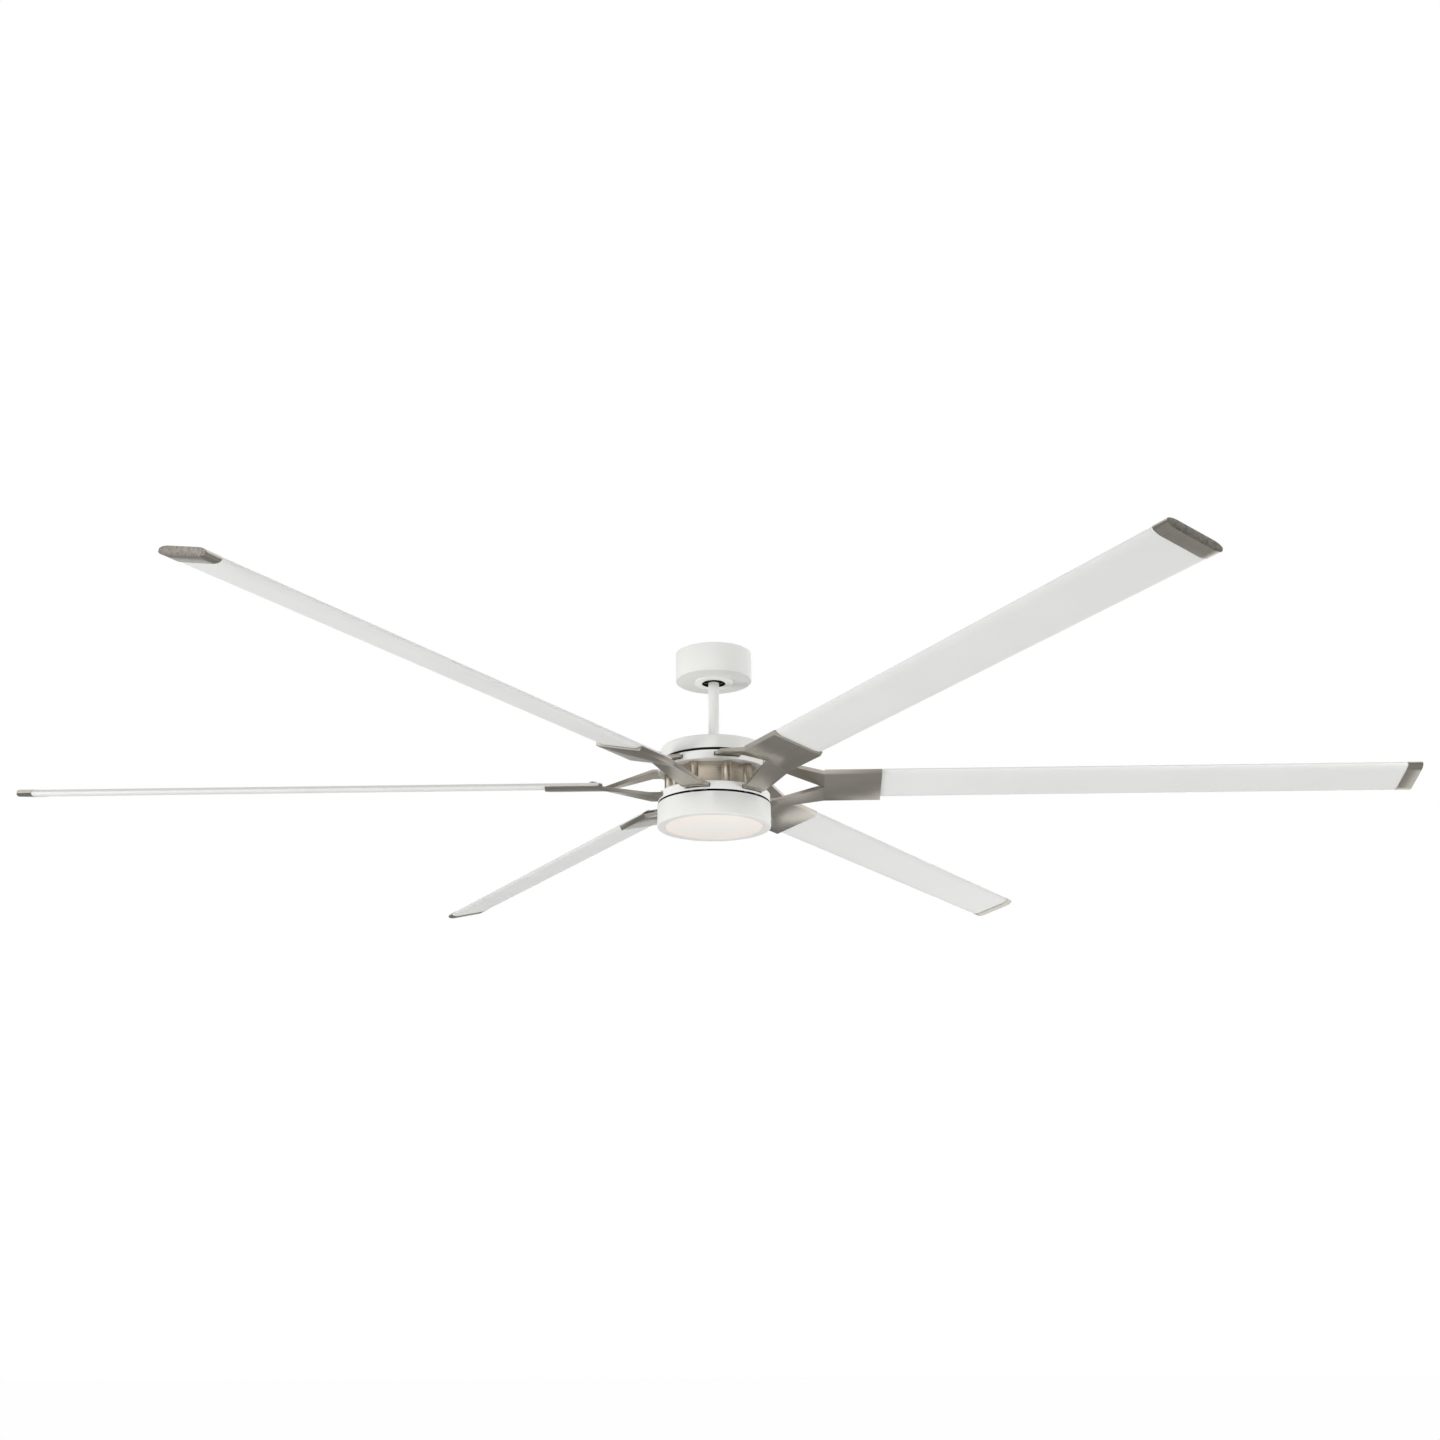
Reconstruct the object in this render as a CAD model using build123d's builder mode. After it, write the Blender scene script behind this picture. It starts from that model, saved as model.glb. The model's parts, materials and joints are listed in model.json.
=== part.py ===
from build123d import *
from math import cos, radians, sin, sqrt
import os

# Six-blade ceiling fan, modelled from the ceiling plane at z = 0 downwards.
# Blade 1 points along +X and the drive axis is Z.

# Span and heights, read downwards from the ceiling
span = 2438.4
blade_count = 6
canopy_height = 51.4
rod_reach = 125.6
cap_height = 24.4
cap_gap = 5.6
ring_height = 15.0
core_height = 40.0
light_gap = 3.2
light_height = 39.4

# Running and seating clearances
overrun = 5.0
running_gap = 0.05
press_gap = 0.02
seat_gap = 0.3
screw_gap = 0.1
hex_sides = 6

# Ceiling bracket and ball joint
bracket_gauge = 2.0
plate_half_length = 54.0
plate_half_width = 31.0
plate_corner = 6.0
ceiling_slot_spacing = 88.9
ceiling_slot_radius = 2.6
ceiling_slot_length = 12.0
wire_hole_radius = 15.0
wall_half_length = 26.0
cradle_half_length = 34.0
ball_radius = 20.0
ball_depth = 26.0
ball_top_rise = 12.0
ball_bottom_drop = 15.0
cradle_drop = 10.0
neck_radius = 11.5
neck_drop = 28.0
groove_floor_radius = 14.5
groove_width = 5.0
key_radius = 15.6
key_width = 4.0
key_height = 6.0
hanger_pin_radius = 2.0
hanger_pin_length = 34.0
hanger_pin_rise = 5.0

# Canopy and its cover ring
canopy_radius = 67.6
canopy_wall = 1.5
canopy_fillet = 2.2
canopy_hole_radius = 22.5
cover_radius = 34.0
cover_hole_radius = 21.0
cover_wall = 1.2
cover_height = 3.4
cover_lip_rise = 3.0
canopy_screw_circle = 28.5
canopy_screw_start = 45
canopy_screw_radius = 2.0
canopy_screw_head = 3.6
canopy_screw_head_height = 1.5

# Receiver box beside the bracket
receiver_length = 50.0
receiver_width = 20.0
receiver_height = 26.0
receiver_corner = 3.0

# Downrod and the coupling under it
rod_radius = 9.525
rod_wall = 2.0
coupling_radius = 16.0
coupling_top_gap = 3.5
coupling_rod_depth = 11.5
coupling_flange_inset = 4.0
coupling_flange_gauge = 3.0
coupling_flange_lift = 1.0
coupling_nose_radius = 11.8
clevis_pin_radius = 3.0
clevis_pin_length = 46.0
clevis_pin_head = 4.6
clevis_pin_head_height = 2.0
clevis_pin_drop = 6.0
hairpin_radius = 0.9
hairpin_leg = 9.0
hairpin_bend = 3.0
set_screw_radius = 2.5

# Top cap
cap_inset = 4.0
cap_wall = 1.6
cap_fillet = 5.0
cap_hole_radius = 11.0
cap_boss_radius = 4.0
cap_screw_circle = 52.0
cap_screw_count = 3
cap_screw_radius = 1.75
cap_screw_length = 12.0
cap_screw_head = 3.4
cap_screw_head_height = 1.8

# Motor shaft and ball bearings
shaft_radius = 8.5
shoulder_radius = 11.0
bearing_radius = 20.0
bearing_width = 12.0
bearing_ball_radius = 3.3
bearing_ball_count = 8
inner_race_radius = 12.2
outer_race_bore_radius = 16.3
cage_wall = 1.0
cage_width = 7.6
cage_pocket_gap = 0.15
bearing_inset = 1.0
spacer_radius = 11.5
nut_radius = 13.0
nut_height = 8.0

# Stator, coils and magnets
stack_height = 28.0
tooth_count = 12
tooth_width = 9.0
stator_yoke_radius = 30.0
stator_shoe_depth = 4.0
stator_slot_width = 3.0
air_gap = 0.8
magnet_depth = 4.2
magnet_count = 14
magnet_spacing = 2.0
coil_depth = 3.6
coil_gap = 0.4
coil_corner = 2.5
coil_inset = 4.0

# Rotating rings and the core between them
ring_radius = 98.0
rim_depth = 28.0
ring_edge = 0.8
web_gauge = 4.0
web_drop = 3.0
boss_wall = 5.0
window_count = 6
window_inner_radius = 32.0
window_rim = 8.0
window_spoke_width = 12.0
core_inset = 18.0
core_wall = 4.0
post_radius = 8.75
post_inset = 1.0
post_pair_count = 5
post_pair_angles = (-71.1, -42.1)
hub_bolt_outset = 0.5
hub_bolt_radius = 2.5
hub_bolt_head = 4.25
hub_bolt_head_height = 3.0
hub_bolt_end = 2.0

# Blade holders: a tray under the blade and two legs to the rings
blade_pitch = 15.0
tray_root = 193.0
tray_end = 292.0
tray_overhang = 0.6
tray_lip_draft = 2.4
tray_floor = 3.2
tray_lip_height = 8.6
tray_bulkhead = 6.8
leg_thickness = 8.0
leg_end_thickness = 5.6
leg_end_width = 42.0
leg_split = 1.6
leg_reach = 11.0
leg_seat_inset = 8.0
leg_end_offset = 3.2
pocket_gap = 0.8
holder_screw_radius = 2.0
holder_screw_head = 3.5
holder_screw_head_height = 2.0
holder_screw_inset = 4.5
holder_screw_pitch = 24.0
holder_screw_length = 9.0

# Blades and their tips
blade_half_chord = 44.0
blade_half_thickness = 5.6
blade_edge = 16.0
blade_wall = 1.4
blade_web = 1.4
blade_web_offset = 14.0
blade_root = 200.0
blade_nest_gap = 0.2
tip_length = 25.7
tip_proud = 0.7
tip_corner = 2.0
spigot_length = 16.0
spigot_width = 20.0
blade_screw_radius = 2.2
blade_screw_head = 4.4
blade_screw_head_height = 2.6
blade_screw_bite = 2.2
blade_screw_inset = 12.0
blade_screw_pitch = 24.0

# Light kit
light_overhang = 1.0
light_wall = 1.6
light_fillet = 1.2
light_plate_inset = 9.0
light_plate_gauge = 2.5
light_roof_hole = 34.0
light_screw_inset = 39.0
light_screw_start = -90
light_screw_length = 4.0
standoff_radius = 4.0
standoff_inset = 25.0
standoff_start = 90
standoff_count = 3
light_screw_radius = 1.75
light_screw_head = 3.4
light_screw_head_height = 1.6
bezel_width = 13.4
bezel_gauge = 2.4
bezel_lip_rise = 5.0
bezel_lip_wall = 1.5
lens_recess = 0.6
lens_gauge = 2.4
lens_flange = 5.0
lens_flange_gauge = 1.6
led_tray_inset = 13.0
led_tray_gauge = 1.6
led_tray_drop = 20.0
led_size = 5.0
led_height = 1.0
led_inner_circle = 30.0
led_outer_inset = 12.0
led_counts = (6, 12)
driver_screw_gap = 6.6
driver_width = 34.0
driver_height = 17.0
driver_corner = 2.0
driver_nut_gap = 6.0
lead_radius = 1.5
lead_gap = 0.15
lead_bend = 4.4
lead_top_rise = 4.0

# Places that follow from the sizes above
tip_radius = span / 2
canopy_bottom = -canopy_height
cap_top = canopy_bottom - rod_reach
cap_bottom = cap_top - cap_height
upper_top = cap_bottom - cap_gap
upper_bottom = upper_top - ring_height
core_bottom = upper_bottom - core_height
lower_bottom = core_bottom - ring_height
light_top = lower_bottom - light_gap
light_bottom = light_top - light_height
hub_middle = (upper_bottom + core_bottom) / 2
ball_centre = -ball_depth
ball_top = ball_centre + ball_top_rise
cradle_top = ball_centre - cradle_drop
cradle_bottom = cradle_top - bracket_gauge
coupling_top = cap_top - coupling_top_gap
rod_bottom = coupling_top - coupling_rod_depth
flange_top = cap_bottom + coupling_flange_lift + coupling_flange_gauge
flange_bottom = flange_top - coupling_flange_gauge
upper_bearing_top = upper_top - bearing_inset
upper_bearing_bottom = upper_bearing_top - bearing_width
lower_bearing_bottom = lower_bottom + bearing_inset
lower_bearing_top = lower_bearing_bottom + bearing_width
stack_top = hub_middle + stack_height / 2
stack_bottom = hub_middle - stack_height / 2
plate_top = light_top - light_wall
plate_bottom = plate_top - light_plate_gauge
led_tray_top = plate_bottom - led_tray_drop
lens_bottom = light_bottom + lens_recess
cap_radius = ring_radius - cap_inset
ring_rim_inner = ring_radius - rim_depth
core_radius = ring_radius - core_inset
coupling_flange_radius = cap_radius - cap_wall - coupling_flange_inset
post_circle = core_radius - post_inset
hub_bolt_circle = core_radius + hub_bolt_outset
window_outer_radius = ring_rim_inner - window_rim
leg_seat_radius = ring_radius - leg_seat_inset
leg_flat_radius = ring_radius + leg_reach
holder_screw_circle = ring_radius - holder_screw_inset
light_radius = ring_radius + light_overhang
light_plate_radius = light_radius - light_plate_inset
led_tray_radius = light_radius - led_tray_inset
standoff_circle = light_radius - standoff_inset
light_screw_circle = light_radius - light_screw_inset
led_circles = (led_inner_circle, standoff_circle - led_outer_inset)
light_screw_reach = light_screw_circle * cos(radians(light_screw_start + 360 / standoff_count))
driver_length = 2 * (light_screw_reach - light_screw_head - driver_screw_gap)
driver_offset = nut_radius + driver_nut_gap + driver_width / 2
bearing_pitch_radius = (inner_race_radius + outer_race_bore_radius) / 2
magnet_outer_radius = core_radius - core_wall - press_gap
magnet_inner_radius = magnet_outer_radius - magnet_depth
stator_radius = magnet_inner_radius - air_gap
lead_offset = clevis_pin_radius + lead_gap + lead_radius
shaft_bore_radius = lead_offset + lead_radius + lead_gap
shaft_bottom = plate_bottom - nut_height - bearing_inset
tray_half_width = blade_half_chord + tray_overhang
tray_lip_half_width = tray_half_width + tray_lip_draft
leg_width = tray_half_width - leg_split / 2
leg_end_middle = leg_end_offset + leg_end_width / 2
bezel_top = light_bottom + bezel_gauge
lens_radius = light_radius - bezel_width
blade_step = 360 / blade_count
blade_screw_row = blade_root + blade_screw_inset
blade_screw_places = [(blade_screw_row, offset * blade_screw_pitch) for offset in (-1, 0, 1)]
os.makedirs("parts", exist_ok=True)


def export(piece, label):
    """Name a finished piece and write it to its own file."""
    piece.label = label
    export_step(piece, "parts/" + label + ".step")


def tube(top, bottom, outer, inner):
    """Add a plain tube between two heights to the piece being built."""
    with BuildSketch(Plane.XY.offset(bottom)) as section:
        Circle(outer)
        if inner > 0:
            Circle(inner, mode=Mode.SUBTRACT)
    extrude(section.sketch, amount=top - bottom)


def drill(top, bottom, radius):
    """Cut a round hole at each active place, between two heights."""
    with BuildSketch(Plane.XY.offset(bottom)) as section:
        Circle(radius)
    extrude(section.sketch, amount=top - bottom, mode=Mode.SUBTRACT)


def chord_plane(radius):
    """Plane across a blade at a radius: x along the pitched chord, y up through the blade."""
    along_chord = (0, cos(radians(blade_pitch)), -sin(radians(blade_pitch)))
    return Plane(origin=(radius, 0, hub_middle), x_dir=along_chord, z_dir=(1, 0, 0))


def blade_outline(grow):
    """Draw the blade's section, flat in the middle with elliptical edges, grown all round."""
    flat_half = blade_half_chord - blade_edge
    Rectangle(2 * flat_half, 2 * (blade_half_thickness + grow))
    with Locations((-flat_half, 0), (flat_half, 0)):
        Ellipse(blade_edge + grow, blade_half_thickness + grow)


def blade_outline_cavity():
    """Hollow the blade's section, leaving its walls and two webs."""
    flat_half = blade_half_chord - blade_edge
    inner_half_thickness = blade_half_thickness - blade_wall
    Rectangle(2 * flat_half, 2 * inner_half_thickness, mode=Mode.SUBTRACT)
    with Locations((-flat_half, 0), (flat_half, 0)):
        Ellipse(blade_edge - blade_wall, inner_half_thickness, mode=Mode.SUBTRACT)
    with Locations((-blade_web_offset, 0), (blade_web_offset, 0)):
        Rectangle(blade_web, 2 * inner_half_thickness + blade_wall)


def blade_plane(level):
    """Plane along a blade at a height over its middle: x outwards, y along the pitched chord."""
    upright = (0, sin(radians(blade_pitch)), cos(radians(blade_pitch)))
    place = (0, level * upright[1], hub_middle + level * upright[2])
    return Plane(origin=place, x_dir=(1, 0, 0), z_dir=upright)


def holder_screw_circles(side, radius, count):
    """Draw the two screws of the upper (1) or lower (-1) leg, on as many arms as asked."""
    for offset_share in (-1, 1):
        screw_place = side * leg_end_middle + offset_share * holder_screw_pitch / 2
        screw_x = sqrt(holder_screw_circle ** 2 - screw_place ** 2)
        with PolarLocations(0, count):
            with Locations((screw_x, -screw_place)):
                Circle(radius)


# Hanger bracket: slotted ceiling plate, two walls and a cradle that seats the ball
with BuildPart() as hanger_bracket:
    with BuildSketch(Plane.XY.offset(-bracket_gauge)):
        RectangleRounded(2 * plate_half_length, 2 * plate_half_width, plate_corner)
        with Locations((-ceiling_slot_spacing / 2, 0), (ceiling_slot_spacing / 2, 0)):
            SlotOverall(ceiling_slot_length, 2 * ceiling_slot_radius, mode=Mode.SUBTRACT)
        Circle(wire_hole_radius, mode=Mode.SUBTRACT)
    extrude(amount=bracket_gauge)
    wall_middle = plate_half_width - bracket_gauge / 2
    with BuildSketch(Plane.XY.offset(cradle_bottom)):
        with Locations((0, -wall_middle), (0, wall_middle)):
            Rectangle(2 * wall_half_length, bracket_gauge)
    extrude(amount=-cradle_bottom)
    with BuildSketch(Plane.XY.offset(cradle_bottom)):
        RectangleRounded(2 * cradle_half_length, 2 * plate_half_width, plate_corner)
    extrude(amount=bracket_gauge)
    with Locations((0, 0, ball_centre)):
        Sphere(ball_radius + seat_gap, mode=Mode.SUBTRACT)
    with BuildSketch(Plane.XY.offset(cradle_top)):
        with Locations((key_radius + key_height / 2, 0)):
            Rectangle(key_height, key_width)
    extrude(amount=key_height)
    with BuildSketch(Plane.XY.offset(cradle_bottom)):
        with Locations((-cradle_half_length / 2, 0)):
            Rectangle(cradle_half_length, 2 * (neck_radius + 2 * seat_gap))
        with PolarLocations(canopy_screw_circle, 2, start_angle=canopy_screw_start):
            Circle(canopy_screw_radius + screw_gap)
    extrude(amount=bracket_gauge, mode=Mode.SUBTRACT)
export(hanger_bracket.part, "hanger_bracket")

# Canopy: drawn steel cup against the ceiling
with BuildPart() as canopy:
    with BuildSketch(Plane.XY.offset(canopy_bottom)):
        Circle(canopy_radius)
    extrude(amount=canopy_height)
    fillet(canopy.faces().sort_by(Axis.Z)[0].edges(), canopy_fillet)
    offset(amount=-canopy_wall, openings=canopy.faces().sort_by(Axis.Z)[-1])
    drill(canopy_bottom + overrun, canopy_bottom - overrun, canopy_hole_radius)
    with BuildSketch(Plane.XY.offset(canopy_bottom)):
        with PolarLocations(canopy_screw_circle, 2, start_angle=canopy_screw_start):
            Circle(canopy_screw_radius + screw_gap)
    extrude(amount=canopy_wall, mode=Mode.SUBTRACT)
export(canopy.part, "canopy")

# Cover ring that snaps into the canopy's hole and hides its screws
with BuildPart() as canopy_cover_ring:
    cover_bottom = canopy_bottom - cover_height
    tube(cover_bottom + cover_wall, cover_bottom, cover_radius, cover_hole_radius)
    fillet(canopy_cover_ring.edges().group_by(Axis.Z)[0].sort_by(SortBy.LENGTH)[-1], cover_wall / 2)
    tube(canopy_bottom, cover_bottom + cover_wall, cover_radius, cover_radius - cover_wall)
    lip_top = canopy_bottom + cover_lip_rise
    tube(lip_top, cover_bottom + cover_wall, cover_hole_radius + cover_wall, cover_hole_radius)
export(canopy_cover_ring.part, "canopy_cover_ring")

with BuildPart() as canopy_screws:
    with BuildSketch(Plane.XY.offset(canopy_bottom)):
        with PolarLocations(canopy_screw_circle, 2, start_angle=canopy_screw_start):
            Circle(canopy_screw_radius)
    extrude(amount=cradle_top - canopy_bottom)
    with BuildSketch(Plane.XY.offset(canopy_bottom)):
        with PolarLocations(canopy_screw_circle, 2, start_angle=canopy_screw_start):
            Circle(canopy_screw_head)
    extrude(amount=-canopy_screw_head_height)
export(canopy_screws.part, "canopy_screws")

# Remote receiver, screwed to the outside of one bracket wall
with BuildPart() as receiver:
    with BuildSketch(Plane.XY.offset(-seat_gap - receiver_height)):
        with Locations((0, plate_half_width + seat_gap + receiver_width / 2)):
            RectangleRounded(receiver_length, receiver_width, receiver_corner)
    extrude(amount=receiver_height)
export(receiver.part, "receiver")

# Hanger ball with its keyed groove and the collar round the rod
with BuildPart() as hanger_ball:
    with BuildSketch(Plane.XZ) as ball_profile:
        with Locations((0, ball_centre)):
            Circle(ball_radius)
        with Locations((0, ball_centre + (ball_top_rise - ball_bottom_drop) / 2)):
            Rectangle(2 * ball_radius, ball_top_rise + ball_bottom_drop, mode=Mode.INTERSECT)
        with Locations((0, ball_centre - neck_drop / 2)):
            Rectangle(2 * neck_radius, neck_drop)
        with Locations((0, ball_centre)):
            Rectangle(2 * (rod_radius + running_gap), 4 * ball_radius, mode=Mode.SUBTRACT)
        split(bisect_by=Plane.YZ)
    revolve(axis=Axis.Z)
    with BuildSketch(Plane.XZ) as groove:
        with Locations((0, ball_centre)):
            Circle(ball_radius + overrun)
            Circle(groove_floor_radius, mode=Mode.SUBTRACT)
        with Locations((ball_radius, ball_centre - ball_bottom_drop / 2)):
            Rectangle(ball_radius, 2 * ball_radius, mode=Mode.INTERSECT)
    extrude(amount=groove_width / 2, both=True, mode=Mode.SUBTRACT)
    with BuildSketch(Plane.XZ):
        with Locations((0, ball_centre + hanger_pin_rise)):
            Circle(hanger_pin_radius + running_gap)
    extrude(amount=2 * ball_radius, both=True, mode=Mode.SUBTRACT)
export(hanger_ball.part, "hanger_ball")

with BuildPart() as hanger_pin:
    with BuildSketch(Plane.XZ):
        with Locations((0, ball_centre + hanger_pin_rise)):
            Circle(hanger_pin_radius)
    extrude(amount=hanger_pin_length / 2, both=True)
export(hanger_pin.part, "hanger_pin")

# Downrod: steel tube from the ball to the coupling
with BuildPart() as downrod:
    tube(ball_top, rod_bottom, rod_radius, rod_radius - rod_wall)
    with BuildSketch(Plane.XZ):
        with Locations((0, ball_centre + hanger_pin_rise)):
            Circle(hanger_pin_radius + running_gap)
        with Locations((0, coupling_top - clevis_pin_drop)):
            Circle(clevis_pin_radius + running_gap)
    extrude(amount=2 * rod_radius, both=True, mode=Mode.SUBTRACT)
export(downrod.part, "downrod")

# Coupling: a collar for the rod, a flange for the cap and a nose that carries the shaft
with BuildPart() as rod_coupling:
    tube(coupling_top, flange_bottom, coupling_radius, rod_radius + running_gap)
    tube(flange_top, flange_bottom, coupling_flange_radius, rod_radius)
    tube(rod_bottom - press_gap, upper_bearing_top, coupling_nose_radius, shaft_radius + press_gap)
    with BuildSketch(Plane.XZ):
        with Locations((0, coupling_top - clevis_pin_drop)):
            Circle(clevis_pin_radius + running_gap)
    extrude(amount=2 * coupling_radius, both=True, mode=Mode.SUBTRACT)
    with BuildSketch(Plane.YZ):
        with Locations((0, coupling_top - clevis_pin_drop)):
            Circle(set_screw_radius + running_gap)
    extrude(amount=2 * coupling_radius, both=True, mode=Mode.SUBTRACT)
    with BuildSketch(Plane.XY.offset(flange_bottom)):
        with PolarLocations(cap_screw_circle, cap_screw_count):
            Circle(cap_screw_radius + screw_gap)
    extrude(amount=coupling_flange_gauge, mode=Mode.SUBTRACT)
export(rod_coupling.part, "rod_coupling")

with BuildPart() as clevis_pin:
    pin_height = coupling_top - clevis_pin_drop
    with BuildSketch(Plane.XZ.offset(-clevis_pin_length / 2)):
        with Locations((0, pin_height)):
            Circle(clevis_pin_radius)
    extrude(amount=clevis_pin_length)
    with BuildSketch(Plane.XZ.offset(clevis_pin_length / 2)):
        with Locations((0, pin_height)):
            Circle(clevis_pin_head)
    extrude(amount=-clevis_pin_head_height)
    hairpin_place = clevis_pin_length / 2 - clevis_pin_head_height
    with BuildSketch(Plane.XY.offset(pin_height)):
        with Locations((0, hairpin_place)):
            Circle(hairpin_radius + running_gap)
    extrude(amount=2 * clevis_pin_radius, both=True, mode=Mode.SUBTRACT)
export(clevis_pin.part, "clevis_pin")

# Hairpin clip: a straight leg through the clevis pin and a leg that springs over it
with BuildPart() as hairpin:
    leg_top = pin_height + hairpin_leg / 2
    leg_bottom = pin_height - hairpin_leg / 2
    spring_place = hairpin_place + 2 * hairpin_bend
    with BuildLine(Plane.YZ) as wire:
        Line((hairpin_place, leg_top), (hairpin_place, leg_bottom))
        CenterArc((hairpin_place + hairpin_bend, leg_bottom), hairpin_bend, 180, 180)
        Line((spring_place, leg_bottom), (spring_place, pin_height))
    with BuildSketch(Plane.XY.offset(leg_top)):
        with Locations((0, hairpin_place)):
            Circle(hairpin_radius)
    sweep(path=wire.wires()[0])
export(hairpin.part, "hairpin")

with BuildPart() as coupling_set_screws:
    for side in (-1, 1):
        with BuildSketch(Plane.YZ.offset(side * (rod_radius + running_gap))):
            with Locations((0, pin_height)):
                Circle(set_screw_radius)
                RegularPolygon(set_screw_radius / 2, hex_sides, mode=Mode.SUBTRACT)
        extrude(amount=side * (coupling_radius - rod_radius))
export(coupling_set_screws.part, "coupling_set_screws")

# Top cap: rounded shell over the coupling, with three screw bosses inside
with BuildPart() as top_cap:
    with BuildSketch(Plane.XY.offset(cap_bottom)):
        Circle(cap_radius)
    extrude(amount=cap_height)
    fillet(top_cap.faces().sort_by(Axis.Z)[-1].edges(), cap_fillet)
    offset(amount=-cap_wall, openings=top_cap.faces().sort_by(Axis.Z)[0])
    with BuildSketch(Plane.XY.offset(flange_top)):
        with PolarLocations(cap_screw_circle, cap_screw_count):
            Circle(cap_boss_radius)
    extrude(amount=cap_top - flange_top - cap_wall / 2)
    drill(cap_top + overrun, cap_bottom, cap_hole_radius)
    with BuildSketch(Plane.XY.offset(flange_top)):
        with PolarLocations(cap_screw_circle, cap_screw_count):
            Circle(cap_screw_radius + press_gap)
    extrude(amount=cap_screw_length, mode=Mode.SUBTRACT)
export(top_cap.part, "top_cap")

with BuildPart() as top_cap_screws:
    with BuildSketch(Plane.XY.offset(flange_bottom)):
        with PolarLocations(cap_screw_circle, cap_screw_count):
            Circle(cap_screw_radius)
    extrude(amount=cap_screw_length)
    with BuildSketch(Plane.XY.offset(flange_bottom)):
        with PolarLocations(cap_screw_circle, cap_screw_count):
            Circle(cap_screw_head)
    extrude(amount=-cap_screw_head_height)
export(top_cap_screws.part, "top_cap_screws")

# Hollow motor shaft with the shoulder between the upper bearing and the stator
with BuildPart() as motor_shaft:
    tube(rod_bottom - seat_gap, shaft_bottom, shaft_radius, shaft_bore_radius)
    tube(upper_bearing_bottom, stack_top, shoulder_radius, shaft_bore_radius)
export(motor_shaft.part, "motor_shaft")

with BuildPart() as stator_spacer:
    tube(stack_bottom, lower_bearing_top, spacer_radius, shaft_radius + press_gap)
export(stator_spacer.part, "stator_spacer")

with BuildPart() as light_spacer:
    tube(lower_bearing_bottom, plate_top, spacer_radius, shaft_radius + press_gap)
export(light_spacer.part, "light_spacer")

# Ball bearings: two races and a ball set each, with room for the balls to roll
bearing_places = {"upper": upper_bearing_bottom, "lower": lower_bearing_bottom}
for bearing_name, bearing_bottom in bearing_places.items():
    bearing_top = bearing_bottom + bearing_width
    bearing_middle = (bearing_top + bearing_bottom) / 2
    with BuildPart() as inner_race:
        tube(bearing_top, bearing_bottom, inner_race_radius, shaft_radius + press_gap)
        with Locations((0, 0, bearing_middle)):
            Torus(bearing_pitch_radius, bearing_ball_radius + running_gap, mode=Mode.SUBTRACT)
    export(inner_race.part, bearing_name + "_inner_race")
    with BuildPart() as outer_race:
        tube(bearing_top, bearing_bottom, bearing_radius, outer_race_bore_radius)
        with Locations((0, 0, bearing_middle)):
            Torus(bearing_pitch_radius, bearing_ball_radius + running_gap, mode=Mode.SUBTRACT)
    export(outer_race.part, bearing_name + "_outer_race")
    with BuildPart() as ball_set:
        cage_outer = bearing_pitch_radius + cage_wall / 2
        cage_bottom = bearing_middle - cage_width / 2
        tube(cage_bottom + cage_width, cage_bottom, cage_outer, cage_outer - cage_wall)
        with Locations((0, 0, bearing_middle)):
            with PolarLocations(bearing_pitch_radius, bearing_ball_count):
                pocket_radius = bearing_ball_radius + cage_pocket_gap
                Cylinder(pocket_radius, 4 * cage_wall, rotation=(0, 90, 0), mode=Mode.SUBTRACT)
            with PolarLocations(bearing_pitch_radius, bearing_ball_count):
                Sphere(bearing_ball_radius)
    export(ball_set.part, bearing_name + "_ball_set")

# Stator: laminated core with twelve shod teeth
with BuildPart() as stator_core:
    with BuildSketch(Plane.XY.offset(stack_bottom)):
        Circle(stator_radius)
        Circle(stator_radius - stator_shoe_depth, mode=Mode.SUBTRACT)
        tooth_step = 360 / tooth_count
        with PolarLocations(stator_radius, tooth_count, start_angle=tooth_step / 2):
            Rectangle(4 * stator_shoe_depth, stator_slot_width, mode=Mode.SUBTRACT)
        tooth_reach = stator_radius - stator_shoe_depth / 2
        with PolarLocations(tooth_reach / 2, tooth_count):
            Rectangle(tooth_reach, tooth_width)
        Circle(stator_yoke_radius)
        Circle(shaft_radius + press_gap, mode=Mode.SUBTRACT)
    extrude(amount=stack_height)
export(stator_core.part, "stator_core")

# Coils: one wound block round each tooth
coil_inner = stator_yoke_radius + coil_inset
coil_half_width = tooth_width / 2 + coil_gap + coil_depth
coil_reach = stator_radius - stator_shoe_depth - coil_gap
coil_outer = sqrt(coil_reach ** 2 - coil_half_width ** 2)
with BuildPart() as coil:
    with BuildSketch(Plane.YZ.offset(coil_inner)):
        hole_width = tooth_width + 2 * coil_gap
        hole_height = stack_height + 2 * coil_gap
        with Locations((0, hub_middle)):
            RectangleRounded(2 * coil_half_width, hole_height + 2 * coil_depth, coil_corner)
            Rectangle(hole_width, hole_height, mode=Mode.SUBTRACT)
    extrude(amount=coil_outer - coil_inner)
with BuildPart() as stator_coils:
    with PolarLocations(0, tooth_count):
        add(coil.part)
export(stator_coils.part, "stator_coils")

# Rotor core: shell between the rings, with five pairs of clamping posts
with BuildPart() as hub_core:
    with BuildSketch(Plane.XY.offset(core_bottom)):
        Circle(core_radius)
        for post_angle in post_pair_angles:
            with PolarLocations(post_circle, post_pair_count, start_angle=post_angle):
                Circle(post_radius)
        Circle(core_radius - core_wall, mode=Mode.SUBTRACT)
        for post_angle in post_pair_angles:
            with PolarLocations(hub_bolt_circle, post_pair_count, start_angle=post_angle):
                Circle(hub_bolt_radius + screw_gap, mode=Mode.SUBTRACT)
    extrude(amount=core_height)
export(hub_core.part, "hub_core")

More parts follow.
